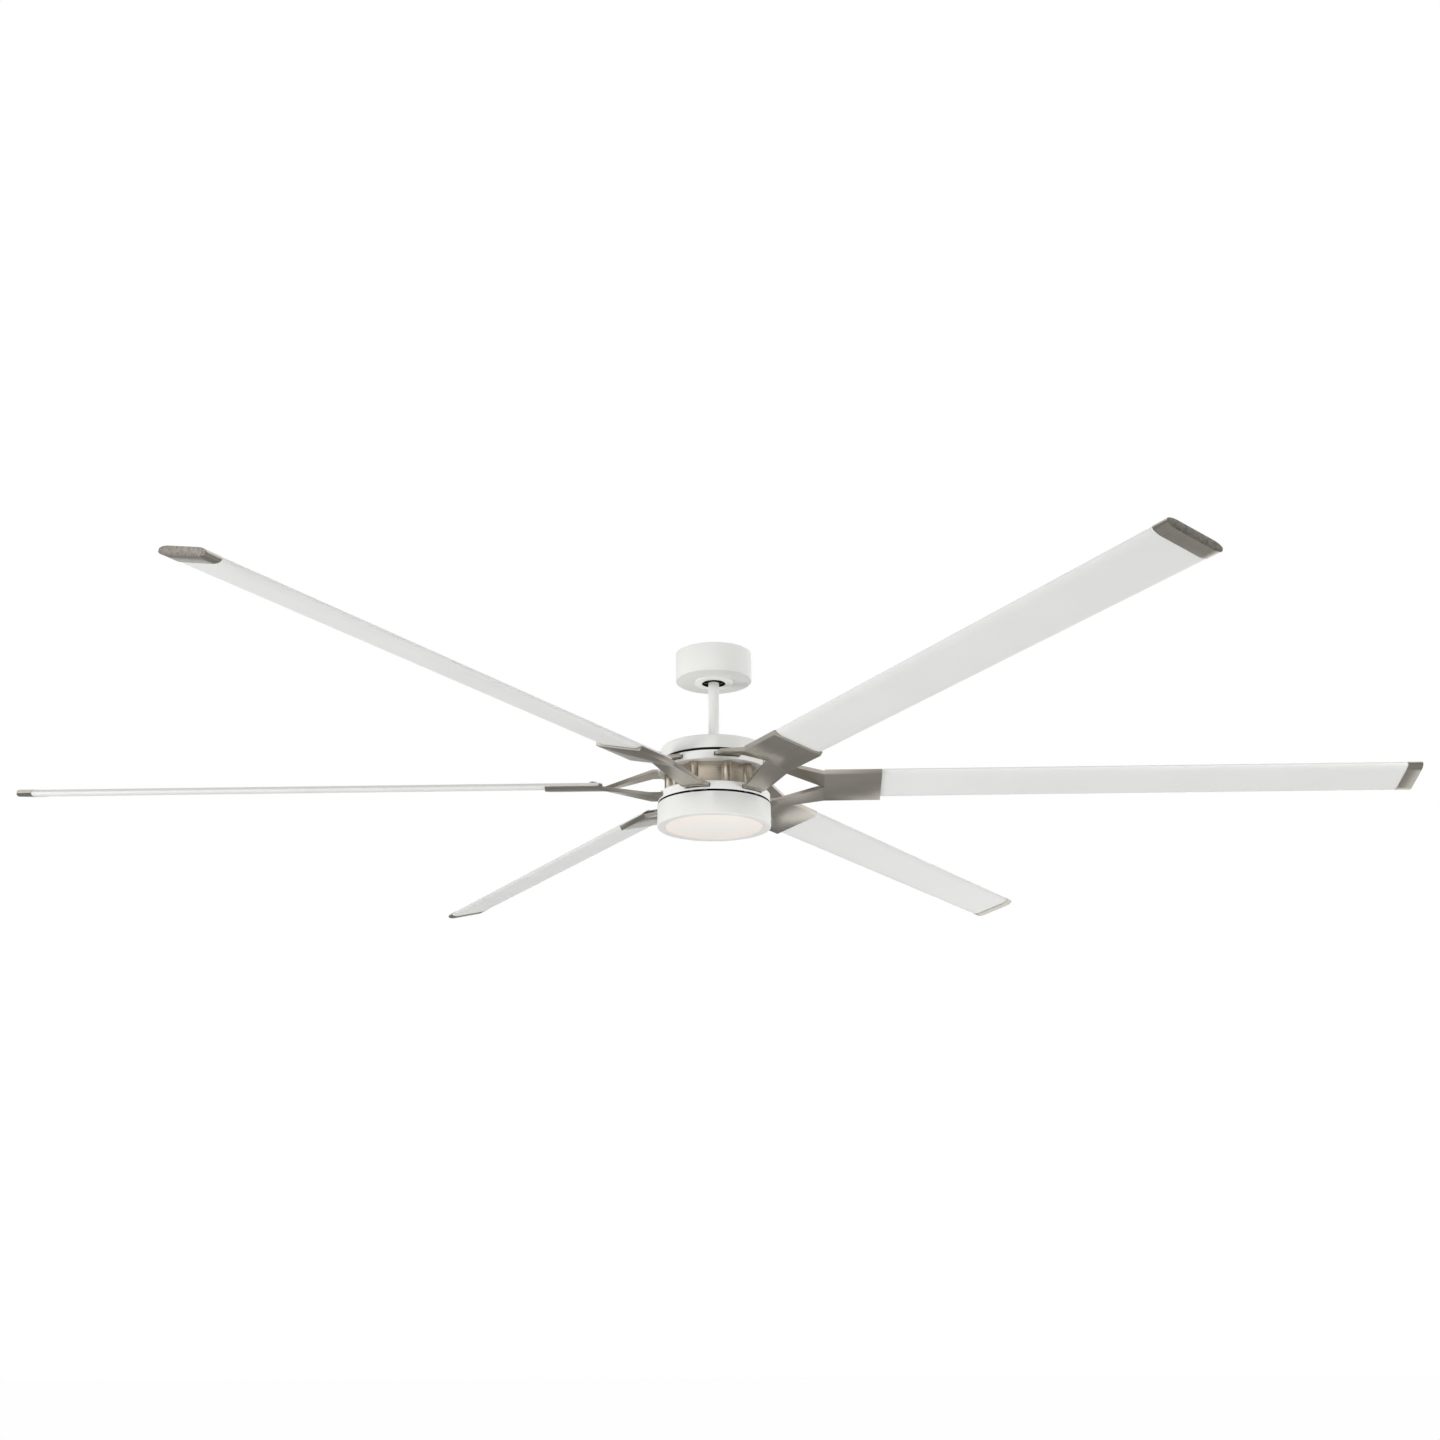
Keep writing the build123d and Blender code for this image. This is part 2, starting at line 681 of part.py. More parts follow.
with BuildPart() as hub_bolts:
    for post_angle in post_pair_angles:
        with BuildSketch(Plane.XY.offset(lower_bottom + hub_bolt_end)):
            with PolarLocations(hub_bolt_circle, post_pair_count, start_angle=post_angle):
                Circle(hub_bolt_radius)
        extrude(amount=upper_top - lower_bottom - hub_bolt_end)
        with BuildSketch(Plane.XY.offset(upper_top)):
            with PolarLocations(hub_bolt_circle, post_pair_count, start_angle=post_angle):
                Circle(hub_bolt_head)
        extrude(amount=-hub_bolt_head_height)
export(hub_bolts.part, "hub_bolts")

with BuildPart() as rotor_magnets:
    with BuildSketch(Plane.XY.offset(stack_bottom)):
        Circle(magnet_outer_radius)
        Circle(magnet_inner_radius, mode=Mode.SUBTRACT)
        with PolarLocations(magnet_inner_radius, magnet_count):
            Rectangle(4 * magnet_depth, magnet_spacing, mode=Mode.SUBTRACT)
    extrude(amount=stack_height)
export(rotor_magnets.part, "rotor_magnets")


def end_ring(side):
    """Make the upper (1) or lower (-1) rotating ring: rim with leg pockets, web and boss."""
    inner_face = hub_middle + side * core_height / 2
    outer_face = inner_face + side * ring_height
    middle = (inner_face + outer_face) / 2
    bearing_outer_face = outer_face - side * bearing_inset
    bearing_inner_face = bearing_outer_face - side * bearing_width
    web_outer_face = outer_face - side * web_drop
    pocket_height = leg_end_thickness + 2 * pocket_gap
    with BuildPart() as ring:
        tube(outer_face, inner_face, ring_radius, ring_rim_inner)
        round_edges = ring.edges().filter_by(GeomType.CIRCLE)
        fillet(round_edges.filter_by(lambda edge: edge.radius > core_radius), ring_edge)
        boss_radius = bearing_radius + boss_wall
        tube(web_outer_face, web_outer_face - side * web_gauge, ring_rim_inner, bearing_radius)
        with BuildSketch(Plane.XY.offset(web_outer_face - side * web_gauge)) as windows:
            Circle(window_outer_radius)
            Circle(window_inner_radius, mode=Mode.SUBTRACT)
            with PolarLocations(window_outer_radius / 2, window_count):
                Rectangle(2 * window_outer_radius, window_spoke_width, mode=Mode.SUBTRACT)
        extrude(windows.sketch, amount=side * web_gauge, mode=Mode.SUBTRACT)
        tube(bearing_outer_face, bearing_inner_face, boss_radius, bearing_radius + press_gap)
        drill(outer_face + side * overrun, inner_face - side * overrun, bearing_radius + press_gap)
        with BuildSketch(Plane.XY.offset(middle - side * pocket_height / 2)) as pockets:
            with PolarLocations(ring_radius, blade_count):
                with Locations((0, -side * leg_end_middle)):
                    Rectangle(2 * rim_depth, leg_end_width + 2 * pocket_gap)
            Circle(leg_seat_radius - pocket_gap, mode=Mode.SUBTRACT)
        extrude(pockets.sketch, amount=side * pocket_height, mode=Mode.SUBTRACT)
        with BuildSketch(Plane.XY.offset(outer_face)) as screw_holes:
            holder_screw_circles(side, holder_screw_radius + screw_gap, blade_count)
        extrude(screw_holes.sketch, amount=-side * ring_height / 2, mode=Mode.SUBTRACT)
        with BuildSketch(Plane.XY.offset(outer_face)) as screw_seats:
            holder_screw_circles(side, holder_screw_head + screw_gap, blade_count)
        extrude(screw_seats.sketch, amount=-side * holder_screw_head_height, mode=Mode.SUBTRACT)
        with BuildSketch(Plane.XY.offset(upper_top)) as bolt_holes:
            for post_angle in post_pair_angles:
                with PolarLocations(hub_bolt_circle, post_pair_count, start_angle=post_angle):
                    Circle(hub_bolt_radius + screw_gap)
        bolt_reach = upper_top - lower_bottom - hub_bolt_end
        extrude(bolt_holes.sketch, amount=-bolt_reach, mode=Mode.SUBTRACT)
        with BuildSketch(Plane.XY.offset(upper_top)) as bolt_seats:
            for post_angle in post_pair_angles:
                with PolarLocations(hub_bolt_circle, post_pair_count, start_angle=post_angle):
                    Circle(hub_bolt_head + screw_gap)
        extrude(bolt_seats.sketch, amount=-hub_bolt_head_height, mode=Mode.SUBTRACT)
    return ring.part


export(end_ring(1), "upper_ring")
export(end_ring(-1), "lower_ring")

# Blade holder: die-cast tray, split at its inner edge into a leg up and a leg down
tray_bottom_level = -blade_half_thickness - blade_nest_gap - tray_floor


def leg_root_plane(side):
    """Plane across a leg where it leaves the pitched tray."""
    slant = radians(blade_pitch)
    level = tray_bottom_level + leg_thickness / 2
    chord = -side * (leg_split / 2 + leg_width / 2)
    root_y = chord * cos(slant) + level * sin(slant)
    root_z = hub_middle - chord * sin(slant) + level * cos(slant)
    return Plane(origin=(tray_root, root_y, root_z), x_dir=(0, cos(slant), -sin(slant)), z_dir=(1, 0, 0))


def leg_end_plane(side):
    """Plane across a leg where it levels out, in front of its pocket."""
    end_z = hub_middle + side * (core_height + ring_height) / 2
    place = (leg_flat_radius, -side * leg_end_middle, end_z)
    return Plane(origin=place, x_dir=(0, 1, 0), z_dir=(1, 0, 0))


with BuildPart() as blade_holder:
    with BuildSketch(chord_plane(tray_root)):
        tray_lip_level = tray_bottom_level + tray_lip_height
        with BuildLine():
            Polyline(
                (-tray_half_width, tray_bottom_level),
                (tray_half_width, tray_bottom_level),
                (tray_lip_half_width, tray_lip_level),
                (-tray_lip_half_width, tray_lip_level),
                close=True,
            )
        make_face()
    extrude(amount=tray_end - tray_root)
    with BuildSketch(chord_plane(tray_root + tray_bulkhead)):
        blade_outline(blade_nest_gap)
    extrude(amount=span, mode=Mode.SUBTRACT)
    for side in (-1, 1):
        with BuildSketch(leg_root_plane(side)):
            Rectangle(leg_width, leg_thickness)
        with BuildSketch(leg_end_plane(side)):
            Rectangle(leg_end_width, leg_end_thickness)
        loft()
        with BuildSketch(leg_end_plane(side)):
            Rectangle(leg_end_width, leg_end_thickness)
        extrude(amount=-leg_flat_radius / 2)
    drill(upper_top + overrun, lower_bottom - overrun, leg_seat_radius)
    for side in (-1, 1):
        ring_face = hub_middle + side * (core_height / 2 + ring_height)
        with BuildSketch(Plane.XY.offset(ring_face)):
            holder_screw_circles(side, holder_screw_radius + press_gap, 1)
        extrude(amount=-side * holder_screw_length, mode=Mode.SUBTRACT)
    with BuildSketch(blade_plane(tray_bottom_level + tray_floor)):
        with Locations(*blade_screw_places):
            Circle(blade_screw_radius + press_gap)
    extrude(amount=-blade_screw_bite, mode=Mode.SUBTRACT)

# Blade: hollow aluminium extrusion with two webs
with BuildPart() as blade:
    with BuildSketch(chord_plane(blade_root)):
        blade_outline(0)
        blade_outline_cavity()
    extrude(amount=tip_radius - tip_length - blade_root)
    with BuildSketch(blade_plane(-blade_half_thickness)):
        with Locations(*blade_screw_places):
            Circle(blade_screw_radius + screw_gap)
    extrude(amount=2 * blade_half_thickness, mode=Mode.SUBTRACT)

# Blade screws: button heads on top of the blade, threaded into the tray floor
with BuildPart() as blade_screw_set:
    with BuildSketch(blade_plane(tray_bottom_level + tray_floor - blade_screw_bite)):
        with Locations(*blade_screw_places):
            Circle(blade_screw_radius)
    extrude(amount=2 * blade_half_thickness + blade_nest_gap + blade_screw_bite)
    with BuildSketch(blade_plane(blade_half_thickness)):
        with Locations(*blade_screw_places):
            Circle(blade_screw_head)
    extrude(amount=blade_screw_head_height)

# Tip: metal end cap a little proud of the blade, with a spigot between the webs
with BuildPart() as blade_tip:
    with BuildSketch(chord_plane(tip_radius - tip_length)):
        blade_outline(tip_proud)
    extrude(amount=tip_length)
    with BuildSketch(blade_plane(-blade_half_chord)) as tip_plan:
        with Locations((tip_radius - tip_length, 0)):
            RectangleRounded(2 * tip_length, 2 * (blade_half_chord + tip_proud), tip_corner)
    extrude(amount=2 * blade_half_chord, mode=Mode.INTERSECT)
    with BuildSketch(chord_plane(tip_radius - tip_length)):
        Rectangle(spigot_width, 2 * (blade_half_thickness - blade_wall - blade_nest_gap))
    extrude(amount=-spigot_length)

# Six arms round the hub, each with its own holder, blade and tip
for arm in range(blade_count):
    arm_name = str(arm + 1)
    export(blade_holder.part.rotate(Axis.Z, arm * blade_step), "blade_holder_" + arm_name)
    export(blade.part.rotate(Axis.Z, arm * blade_step), "blade_" + arm_name)
    export(blade_tip.part.rotate(Axis.Z, arm * blade_step), "blade_tip_" + arm_name)

with BuildPart() as blade_screws:
    with PolarLocations(0, blade_count):
        add(blade_screw_set.part)
export(blade_screws.part, "blade_screws")

# Holder screws: two through each ring face into each leg
with BuildPart() as holder_screws:
    for side in (-1, 1):
        ring_face = hub_middle + side * (core_height / 2 + ring_height)
        with BuildSketch(Plane.XY.offset(ring_face)):
            holder_screw_circles(side, holder_screw_radius, blade_count)
        extrude(amount=-side * holder_screw_length)
        with BuildSketch(Plane.XY.offset(ring_face)):
            holder_screw_circles(side, holder_screw_head, blade_count)
        extrude(amount=-side * holder_screw_head_height)
export(holder_screws.part, "holder_screws")

# Light plate clamped to the shaft's end, with standoffs for the board of lamps
with BuildPart() as light_plate:
    tube(plate_top, plate_bottom, light_plate_radius, shaft_radius + press_gap)
    with BuildSketch(Plane.XY.offset(plate_bottom)):
        with PolarLocations(standoff_circle, standoff_count, start_angle=standoff_start):
            Circle(standoff_radius)
    extrude(amount=-led_tray_drop)
    with BuildSketch(Plane.XY.offset(plate_bottom)):
        with PolarLocations(light_screw_circle, standoff_count, start_angle=light_screw_start):
            Circle(light_screw_radius + press_gap)
    extrude(amount=light_plate_gauge, mode=Mode.SUBTRACT)
    with BuildSketch(Plane.XY.offset(led_tray_top)):
        with PolarLocations(standoff_circle, standoff_count, start_angle=standoff_start):
            Circle(light_screw_radius + press_gap)
    extrude(amount=light_screw_length, mode=Mode.SUBTRACT)
export(light_plate.part, "light_plate")

with BuildPart() as shaft_nut:
    with BuildSketch(Plane.XY.offset(plate_bottom)):
        RegularPolygon(nut_radius, hex_sides)
        Circle(shaft_radius + press_gap, mode=Mode.SUBTRACT)
    extrude(amount=-nut_height)
export(shaft_nut.part, "shaft_nut")

# Light housing: thin drum that hangs on the light plate
with BuildPart() as light_housing:
    with BuildSketch(Plane.XY.offset(light_bottom)):
        Circle(light_radius)
    extrude(amount=light_height)
    fillet(light_housing.edges(), light_fillet)
    drill(plate_top, light_bottom, light_radius - light_wall)
    drill(light_top, plate_top, light_roof_hole)
    with BuildSketch(Plane.XY.offset(plate_top)):
        with PolarLocations(light_screw_circle, standoff_count, start_angle=light_screw_start):
            Circle(light_screw_radius + press_gap)
    extrude(amount=light_wall, mode=Mode.SUBTRACT)
export(light_housing.part, "light_housing")

with BuildPart() as bezel_ring:
    bezel_outer = light_radius - light_wall - press_gap
    tube(bezel_top, light_bottom, bezel_outer, lens_radius)
    tube(bezel_top + bezel_lip_rise, bezel_top, bezel_outer, bezel_outer - bezel_lip_wall)
export(bezel_ring.part, "bezel_ring")

# Lens: opal disc that drops through the bezel and rests on its flange
with BuildPart() as lens:
    tube(lens_bottom + lens_gauge, lens_bottom, lens_radius - seat_gap, 0)
    tube(bezel_top + lens_flange_gauge, bezel_top, lens_radius + lens_flange, 0)
export(lens.part, "lens")

# Tray of light-emitting diodes under the standoffs
with BuildPart() as led_tray:
    led_tray_bottom = led_tray_top - led_tray_gauge
    tube(led_tray_top, led_tray_bottom, led_tray_radius, 0)
    with BuildSketch(Plane.XY.offset(led_tray_bottom)):
        for led_circle, led_count in zip(led_circles, led_counts):
            with PolarLocations(led_circle, led_count):
                Rectangle(led_size, led_size)
    extrude(amount=-led_height)
    with BuildSketch(Plane.XY.offset(led_tray_bottom)):
        with PolarLocations(standoff_circle, standoff_count, start_angle=standoff_start):
            Circle(light_screw_radius + screw_gap)
    extrude(amount=led_tray_gauge, mode=Mode.SUBTRACT)
export(led_tray.part, "led_tray")

with BuildPart() as light_screws:
    for head_level, circle, start in (
        (plate_bottom, light_screw_circle, light_screw_start),
        (led_tray_bottom, standoff_circle, standoff_start),
    ):
        with BuildSketch(Plane.XY.offset(head_level)):
            with PolarLocations(circle, standoff_count, start_angle=start):
                Circle(light_screw_radius)
        extrude(amount=light_screw_length)
        with BuildSketch(Plane.XY.offset(head_level)):
            with PolarLocations(circle, standoff_count, start_angle=start):
                Circle(light_screw_head)
        extrude(amount=-light_screw_head_height)
export(light_screws.part, "light_screws")

with BuildPart() as led_driver:
    with BuildSketch(Plane.XY.offset(plate_bottom)):
        with Locations((0, driver_offset)):
            RectangleRounded(driver_length, driver_width, driver_corner)
    extrude(amount=-driver_height)
export(led_driver.part, "led_driver")

# Supply lead: down the rod and the hollow shaft, then across to the driver
with BuildPart() as supply_lead:
    lead_top = ball_top + lead_top_rise
    lead_low = plate_bottom - driver_height + 2 * lead_radius
    lead_points = (
        (lead_offset, 0, lead_top),
        (lead_offset, 0, lead_low),
        (lead_offset, driver_offset - driver_width / 2, lead_low),
    )
    with BuildLine() as lead_path:
        FilletPolyline(*lead_points, radius=lead_bend)
    with BuildSketch(Plane.XY.offset(lead_top)):
        with Locations((lead_offset, 0)):
            Circle(lead_radius)
    sweep(path=lead_path.wires()[0])
export(supply_lead.part, "supply_lead")
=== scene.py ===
# %% [markdown]
# # A six-blade ceiling fan
# The fan hangs from a short rod under a round canopy. Six white extruded blades ride on brushed
# metal holders, and each holder grips the turning hub with two legs, one on the upper ring and one
# on the lower. A flat round light hangs still below the hub. The solids come from the packed frame,
# in metres, with the ceiling plane at z = 0, so every piece here goes where the frame says.

# %% Load the frame
import bmesh
import bpy
import json
import math
from mathutils import Matrix, Vector


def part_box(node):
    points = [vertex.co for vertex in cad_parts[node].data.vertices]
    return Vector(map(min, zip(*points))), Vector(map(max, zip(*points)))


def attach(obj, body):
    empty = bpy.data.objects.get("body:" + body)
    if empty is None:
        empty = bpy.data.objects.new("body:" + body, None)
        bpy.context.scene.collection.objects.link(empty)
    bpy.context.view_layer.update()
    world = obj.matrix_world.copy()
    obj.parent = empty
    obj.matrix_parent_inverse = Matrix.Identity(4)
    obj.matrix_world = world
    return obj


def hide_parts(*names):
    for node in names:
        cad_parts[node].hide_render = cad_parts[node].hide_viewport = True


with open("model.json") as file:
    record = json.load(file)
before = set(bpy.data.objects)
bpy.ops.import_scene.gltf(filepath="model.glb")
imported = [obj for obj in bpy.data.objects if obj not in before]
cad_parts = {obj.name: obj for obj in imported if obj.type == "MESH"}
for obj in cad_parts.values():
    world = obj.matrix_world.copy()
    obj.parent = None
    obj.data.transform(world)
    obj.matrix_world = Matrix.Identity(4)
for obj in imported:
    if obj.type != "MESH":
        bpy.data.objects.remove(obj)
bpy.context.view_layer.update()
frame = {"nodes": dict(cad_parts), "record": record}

nodes = frame["nodes"]
record = frame["record"]
body_of_node = {name: body for body, names in record["behaviour"]["bodies"].items() for name in names}
slot_of_node = {entry["node"]: entry["material_slot"] for entry in record["subparts"]}
blade_names = [name for name in nodes if name.removeprefix("blade_").isdigit()]
blade_count = len(blade_names)
arm_step = math.tau / blade_count

# %% [markdown]
# ## The camera
# The photograph was taken from below and in front. A least-squares fit of the twelve blade-tip
# corners gave the distance, the height under the ceiling and the angles, so a pixel of the
# photograph and a pixel of the render are the same place. A camera can be aimed with Euler angles,
# but writing its three axes as a matrix keeps yaw, pitch and roll apart and easy to read.

# %% Camera
camera_distance = 3.065
camera_height = -1.1197
camera_azimuth = math.radians(1.86)
camera_yaw = 0.0036
camera_pitch = 0.3145
camera_roll = -0.0047
focal_pixels = 1816.1
photo_width = 1440
sensor_width = 36.0
view_reach = 200.0

turn = Matrix.Rotation(camera_azimuth, 3, "Z")
forward = Vector((math.sin(camera_yaw) * math.cos(camera_pitch),
                  math.cos(camera_yaw) * math.cos(camera_pitch), math.sin(camera_pitch)))
level = Vector((math.cos(camera_yaw), -math.sin(camera_yaw), 0))
upright = level.cross(forward)
right = level * math.cos(camera_roll) + upright * math.sin(camera_roll)
up = upright * math.cos(camera_roll) - level * math.sin(camera_roll)
camera_axes = Matrix((turn @ right, turn @ up, turn @ -forward)).transposed()
camera_place = turn @ Vector((0, -camera_distance, camera_height))
camera = bpy.data.objects.new("camera", bpy.data.cameras.new("camera"))
bpy.context.scene.collection.objects.link(camera)
camera.data.sensor_width = sensor_width
camera.data.lens = focal_pixels / photo_width * sensor_width
camera.data.clip_end = view_reach
camera.matrix_world = Matrix.Translation(camera_place) @ camera_axes.to_4x4()
bpy.context.scene.camera = camera
print("camera at", [round(v, 3) for v in camera_place], "lens", round(camera.data.lens, 1))

# %% [markdown]
# ## Node trees in plain Python
# A material and a Geometry Nodes shape are both small programs on sockets. Adding Math nodes by
# hand hides the formula, so one class wraps a socket and overloads the operators: `1 - mask * 0.5`
# adds the Math nodes for it. The Math node is the same in shaders and shapes, so both use it.

# %% Number sockets
class Value:
    """A number socket with arithmetic."""

    def __init__(self, tree, socket):
        self.tree = tree
        self.socket = socket

    def math(self, operation, *others):
        return self.tree.value("ShaderNodeMath", {"operation": operation}, self, *others)

    def __add__(self, other):
        return self.math("ADD", other)

    def __sub__(self, other):
        return self.math("SUBTRACT", other)

    def __mul__(self, other):
        return self.math("MULTIPLY", other)

    def __truediv__(self, other):
        return self.math("DIVIDE", other)

    def __rsub__(self, other):
        return self.math("MULTIPLY", -1).math("ADD", other)

    def __rtruediv__(self, other):
        return self.math("POWER", -1).math("MULTIPLY", other)

    __radd__ = __add__
    __rmul__ = __mul__


print("operators", sorted(name.strip("_") for name in vars(Value) if name.startswith("__r")))

# %% [markdown]
# ## One method for every other node
# `add` takes a node's type, its settings, and the values or links of its sockets, by order or by
# name. Settings come first, because some of them change which sockets a node shows. It returns an
# output socket, and `value` returns the same as a number socket.

# %% Node trees
class NodeTree:
    """A node tree being built: adds nodes and joins their sockets."""

    def __init__(self, nodes_in):
        self.nodes_in = nodes_in

    def add(self, kind, settings, *inputs, output=0, **named):
        node = self.nodes_in.nodes.new(kind)
        for key, value in settings.items():
            if key == "points":
                self.draw_curve(node.mapping, value)
            else:
                setattr(node, key, value)
        for key, value in enumerate(inputs):
            self.feed(node.inputs[key], value)
        for key, value in named.items():
            self.feed(node.inputs[key.replace("_", " ")], value)
        return node.outputs[output]

    def value(self, kind, settings, *inputs, output=0, **named):
        return Value(self, self.add(kind, settings, *inputs, output=output, **named))

    def draw_curve(self, mapping, spots):
        """A Float Curve of straight stretches through the spots."""
        points = mapping.curves[0].points
        while len(points) < len(spots):
            points.new(0.5, 0.5)
        for point, spot in zip(points, spots):
            point.location = spot
            point.handle_type = "VECTOR"
        mapping.update()

    def feed(self, socket, value):
        """Link a socket or set its value."""
        if isinstance(value, Value):
            value = value.socket
        if isinstance(value, bpy.types.NodeSocket):
            self.nodes_in.links.new(value, socket)
        elif isinstance(value, tuple) and len(value) == 3 and socket.type == "RGBA":
            socket.default_value = (*value, 1)
        else:
            socket.default_value = value

    def parts_of(self, vector):
        """The x, y and z of a vector socket as numbers."""
        node = self.nodes_in.nodes.new("ShaderNodeSeparateXYZ")
        self.nodes_in.links.new(vector, node.inputs[0])
        return [Value(self, part) for part in node.outputs]

    def vector(self, x, y, z):
        return self.add("ShaderNodeCombineXYZ", {}, x, y, z)


print("tree helpers", [name for name in vars(NodeTree) if not name.startswith("_")])

# %% [markdown]
# ## A finish
# A finish is a material tree with its Principled shader. Every pattern in it follows the piece's
# own position, the Object coordinates, so a pattern stays on a piece that turns, and no image has
# to be unwrapped onto it. A mask is a step in such a position, a tenth of a millimetre wide.

# %% Material helper
mask_step = 0.0001


class Finish(NodeTree):
    """A material: its principled shader, the piece's own position, and patterns on it."""

    def __init__(self, name):
        self.material = bpy.data.materials.new(name)
        self.material.use_nodes = True
        super().__init__(self.material.node_tree)
        self.shader = next(n for n in self.nodes_in.nodes if n.type == "BSDF_PRINCIPLED")
        self.place = self.add("ShaderNodeTexCoord", {}, output="Object")

    def set(self, **sockets):
        for key, value in sockets.items():
            self.feed(self.shader.inputs[key.replace("_", " ")], value)

    def stretched(self, x, y, z):
        """The position scaled along each axis, which draws a pattern out into a grain."""
        return self.add("ShaderNodeVectorMath", {"operation": "MULTIPLY"}, self.place, (x, y, z))

    def noise(self, scale, detail=2.0, of=None, rough=0.5):
        return self.value("ShaderNodeTexNoise", {}, Vector=of or self.place, Scale=scale,
                          Detail=detail, Roughness=rough)

    def spread(self, value, low, high, from_low=0.3, from_high=0.7):
        """A value stretched to another span and held inside it. Noise mostly fills 0.3 to 0.7."""
        return self.value("ShaderNodeMapRange", {}, value, from_low, from_high, low, high)

    def near(self, value, middle, below=0.05, above=0.08):
        """A noise spread a little to both sides of a middle."""
        return self.spread(value, middle - below, middle + above)

    def past(self, value, edge):
        """1 where a value is past an edge, and 0 before it."""
        return self.spread(value, 0, 1, edge, edge + mask_step)

    def before(self, value, edge):
        """1 where a value is before an edge, and 0 past it."""
        return self.spread(value, 1, 0, edge, edge + mask_step)

    def blend(self, factor, first, second):
        """A colour between two colours, by the colour sockets of a Mix node."""
        node = self.nodes_in.nodes.new("ShaderNodeMix")
        node.data_type = "RGBA"
        for index, value in ((0, factor), (6, first), (7, second)):
            self.feed(node.inputs[index], value)
        return node.outputs[2]

    def bump(self, height, distance):
        return self.add("ShaderNodeBump", {}, Height=height, Distance=distance, Strength=1.0)


def from_axis(x, y):
    """The distance of a point from the drive axis."""
    return (x * x + y * y).math("SQRT")


def mixed(first, second, share):
    """Two patterns laid over each other, with the share that the first one has."""
    return first * share + second * (1 - share)


print("finish helpers", [name for name in vars(Finish) if not name.startswith("_")])

# %% [markdown]
# ## Colours
# A shader works in linear light, but a screen counts a colour from 0 to 255. Each colour below is
# written the screen's way, and `linear` turns it into light. `dimmed` makes a darker or paler
# sister of it.

# %% Colour helpers
def linear(*shades):
    """A display colour, 0 to 255, as the linear light that a shader wants."""
    return tuple(((s / 255 + 0.055) / 1.055) ** 2.4 for s in shades)


def dimmed(colour, share):
    return tuple(min(1, c * share) for c in colour)


print("white paint in linear light", [round(v, 3) for v in linear(232, 232, 229)])

# %% [markdown]
# ## White powder coat
# The canopy, rod, cap, rings and light drum are satin white powder coat. One flat white would look
# like plastic clay, so the colour drifts by a hair, the gloss varies a little more, and a low bump
# draws the coat's orange peel. Heights are in metres, so the peel is a few thousandths of a
# millimetre. The gloss follows only the slow noise: a grain finer than a pixel would turn into
# speckle wherever a blade is seen nearly edge-on.

# %% White finishes
satin = 0.42
drift_scale = 9.0
drift_share = 0.97
peel_scale = 240.0
peel_height = 0.000008
shadow_black = linear(12, 12, 13)
shadow_matt = 0.3


def coated(coat, white, roughness=satin, peel=peel_height, painted_shade_mask=None):
    """Powder coat on a finish: white with a slow drift, and painted shade in matt black where the
    mask is 1.
    """
    drift = coat.noise(drift_scale, detail=3.0)
    shade = coat.blend(coat.spread(drift, 0, 1), dimmed(white, drift_share), white)
    matt = coat.near(drift, roughness, below=0.04, above=0.05)
    if painted_shade_mask is not None:
        shade = coat.blend(painted_shade_mask, shade, shadow_black)
        matt = matt + painted_shade_mask * shadow_matt
    coat.set(Base_Color=shade, Roughness=matt, Normal=coat.bump(coat.noise(peel_scale), peel))
    return coat.material


white_coat = coated(Finish("satin_white_coat"), linear(232, 232, 229))
blade_coat = coated(Finish("blade_white_coat"), linear(228, 228, 226), roughness=0.46,
                    peel=0.000002)
bezel_plastic = coated(Finish("bezel_white_plastic"), linear(229, 228, 225), roughness=0.38,
                       peel=0.000006)
print("made", white_coat.name, blade_coat.name, bezel_plastic.name)

# %% [markdown]
# ## White outside, painted shade inside
# The rings, the light drum, the canopy and its cover are coated white, but their faces that look
# into a gap or a pocket are painted black as painted shade, so each gap reads as a clean dark line.
# A second material on those faces would cut the mesh up. Masks do it from the position alone: a face
# lies at one known height, and everything inside a known radius is out of the light. The painted
# shade stops half a millimetre short of a piece's top and bottom, which keeps it off the small
# bevels. Each of these whites is a little paler than the rod's, set against the photograph one by
# one: paler copies of the one white coat, painted light that lifts pieces lying deeper in shade.

# %% Coats with painted shade inside
bevel_margin = 0.0005
face_depth = 0.0002


def coat_with_painted_shade(name, node_name, white, inner_radius, painted_shade_face=None):
    """White coat with painted shade: black inside a radius and, where one is named, on the upper or
    lower face.
    """
    low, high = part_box(node_name)[0][2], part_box(node_name)[1][2]
    coat = Finish(name)
    x, y, z = coat.parts_of(coat.place)
    within = coat.before(from_axis(x, y), inner_radius)
    off_bottom = coat.past(z, low + bevel_margin)
    off_top = coat.before(z, high - bevel_margin - mask_step)
    mask = within * off_bottom * off_top
    if painted_shade_face == "upper":
        mask = mask.math("MAXIMUM", coat.past(z, high - face_depth - mask_step))
    if painted_shade_face == "lower":
        mask = mask.math("MAXIMUM", coat.before(z, low + face_depth))
    return coated(coat, white, painted_shade_mask=mask)


rim_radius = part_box("upper_ring")[1][0]
pocket_radius = rim_radius - 0.0008
drum_radius = rim_radius - 0.003
canopy_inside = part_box("canopy")[1][0] - 0.0012
cover_hole = 0.0222
# Painted light: these whites are paler copies of the rod's white coat, lifting pieces that sit deeper
# in shade.
ring_white_painted_lighter = linear(239, 239, 236)
low_white_painted_lighter = linear(245, 245, 242)
cover_white_painted_lighter = linear(246, 246, 243)
canopy_white_painted_lighter = linear(235, 235, 232)
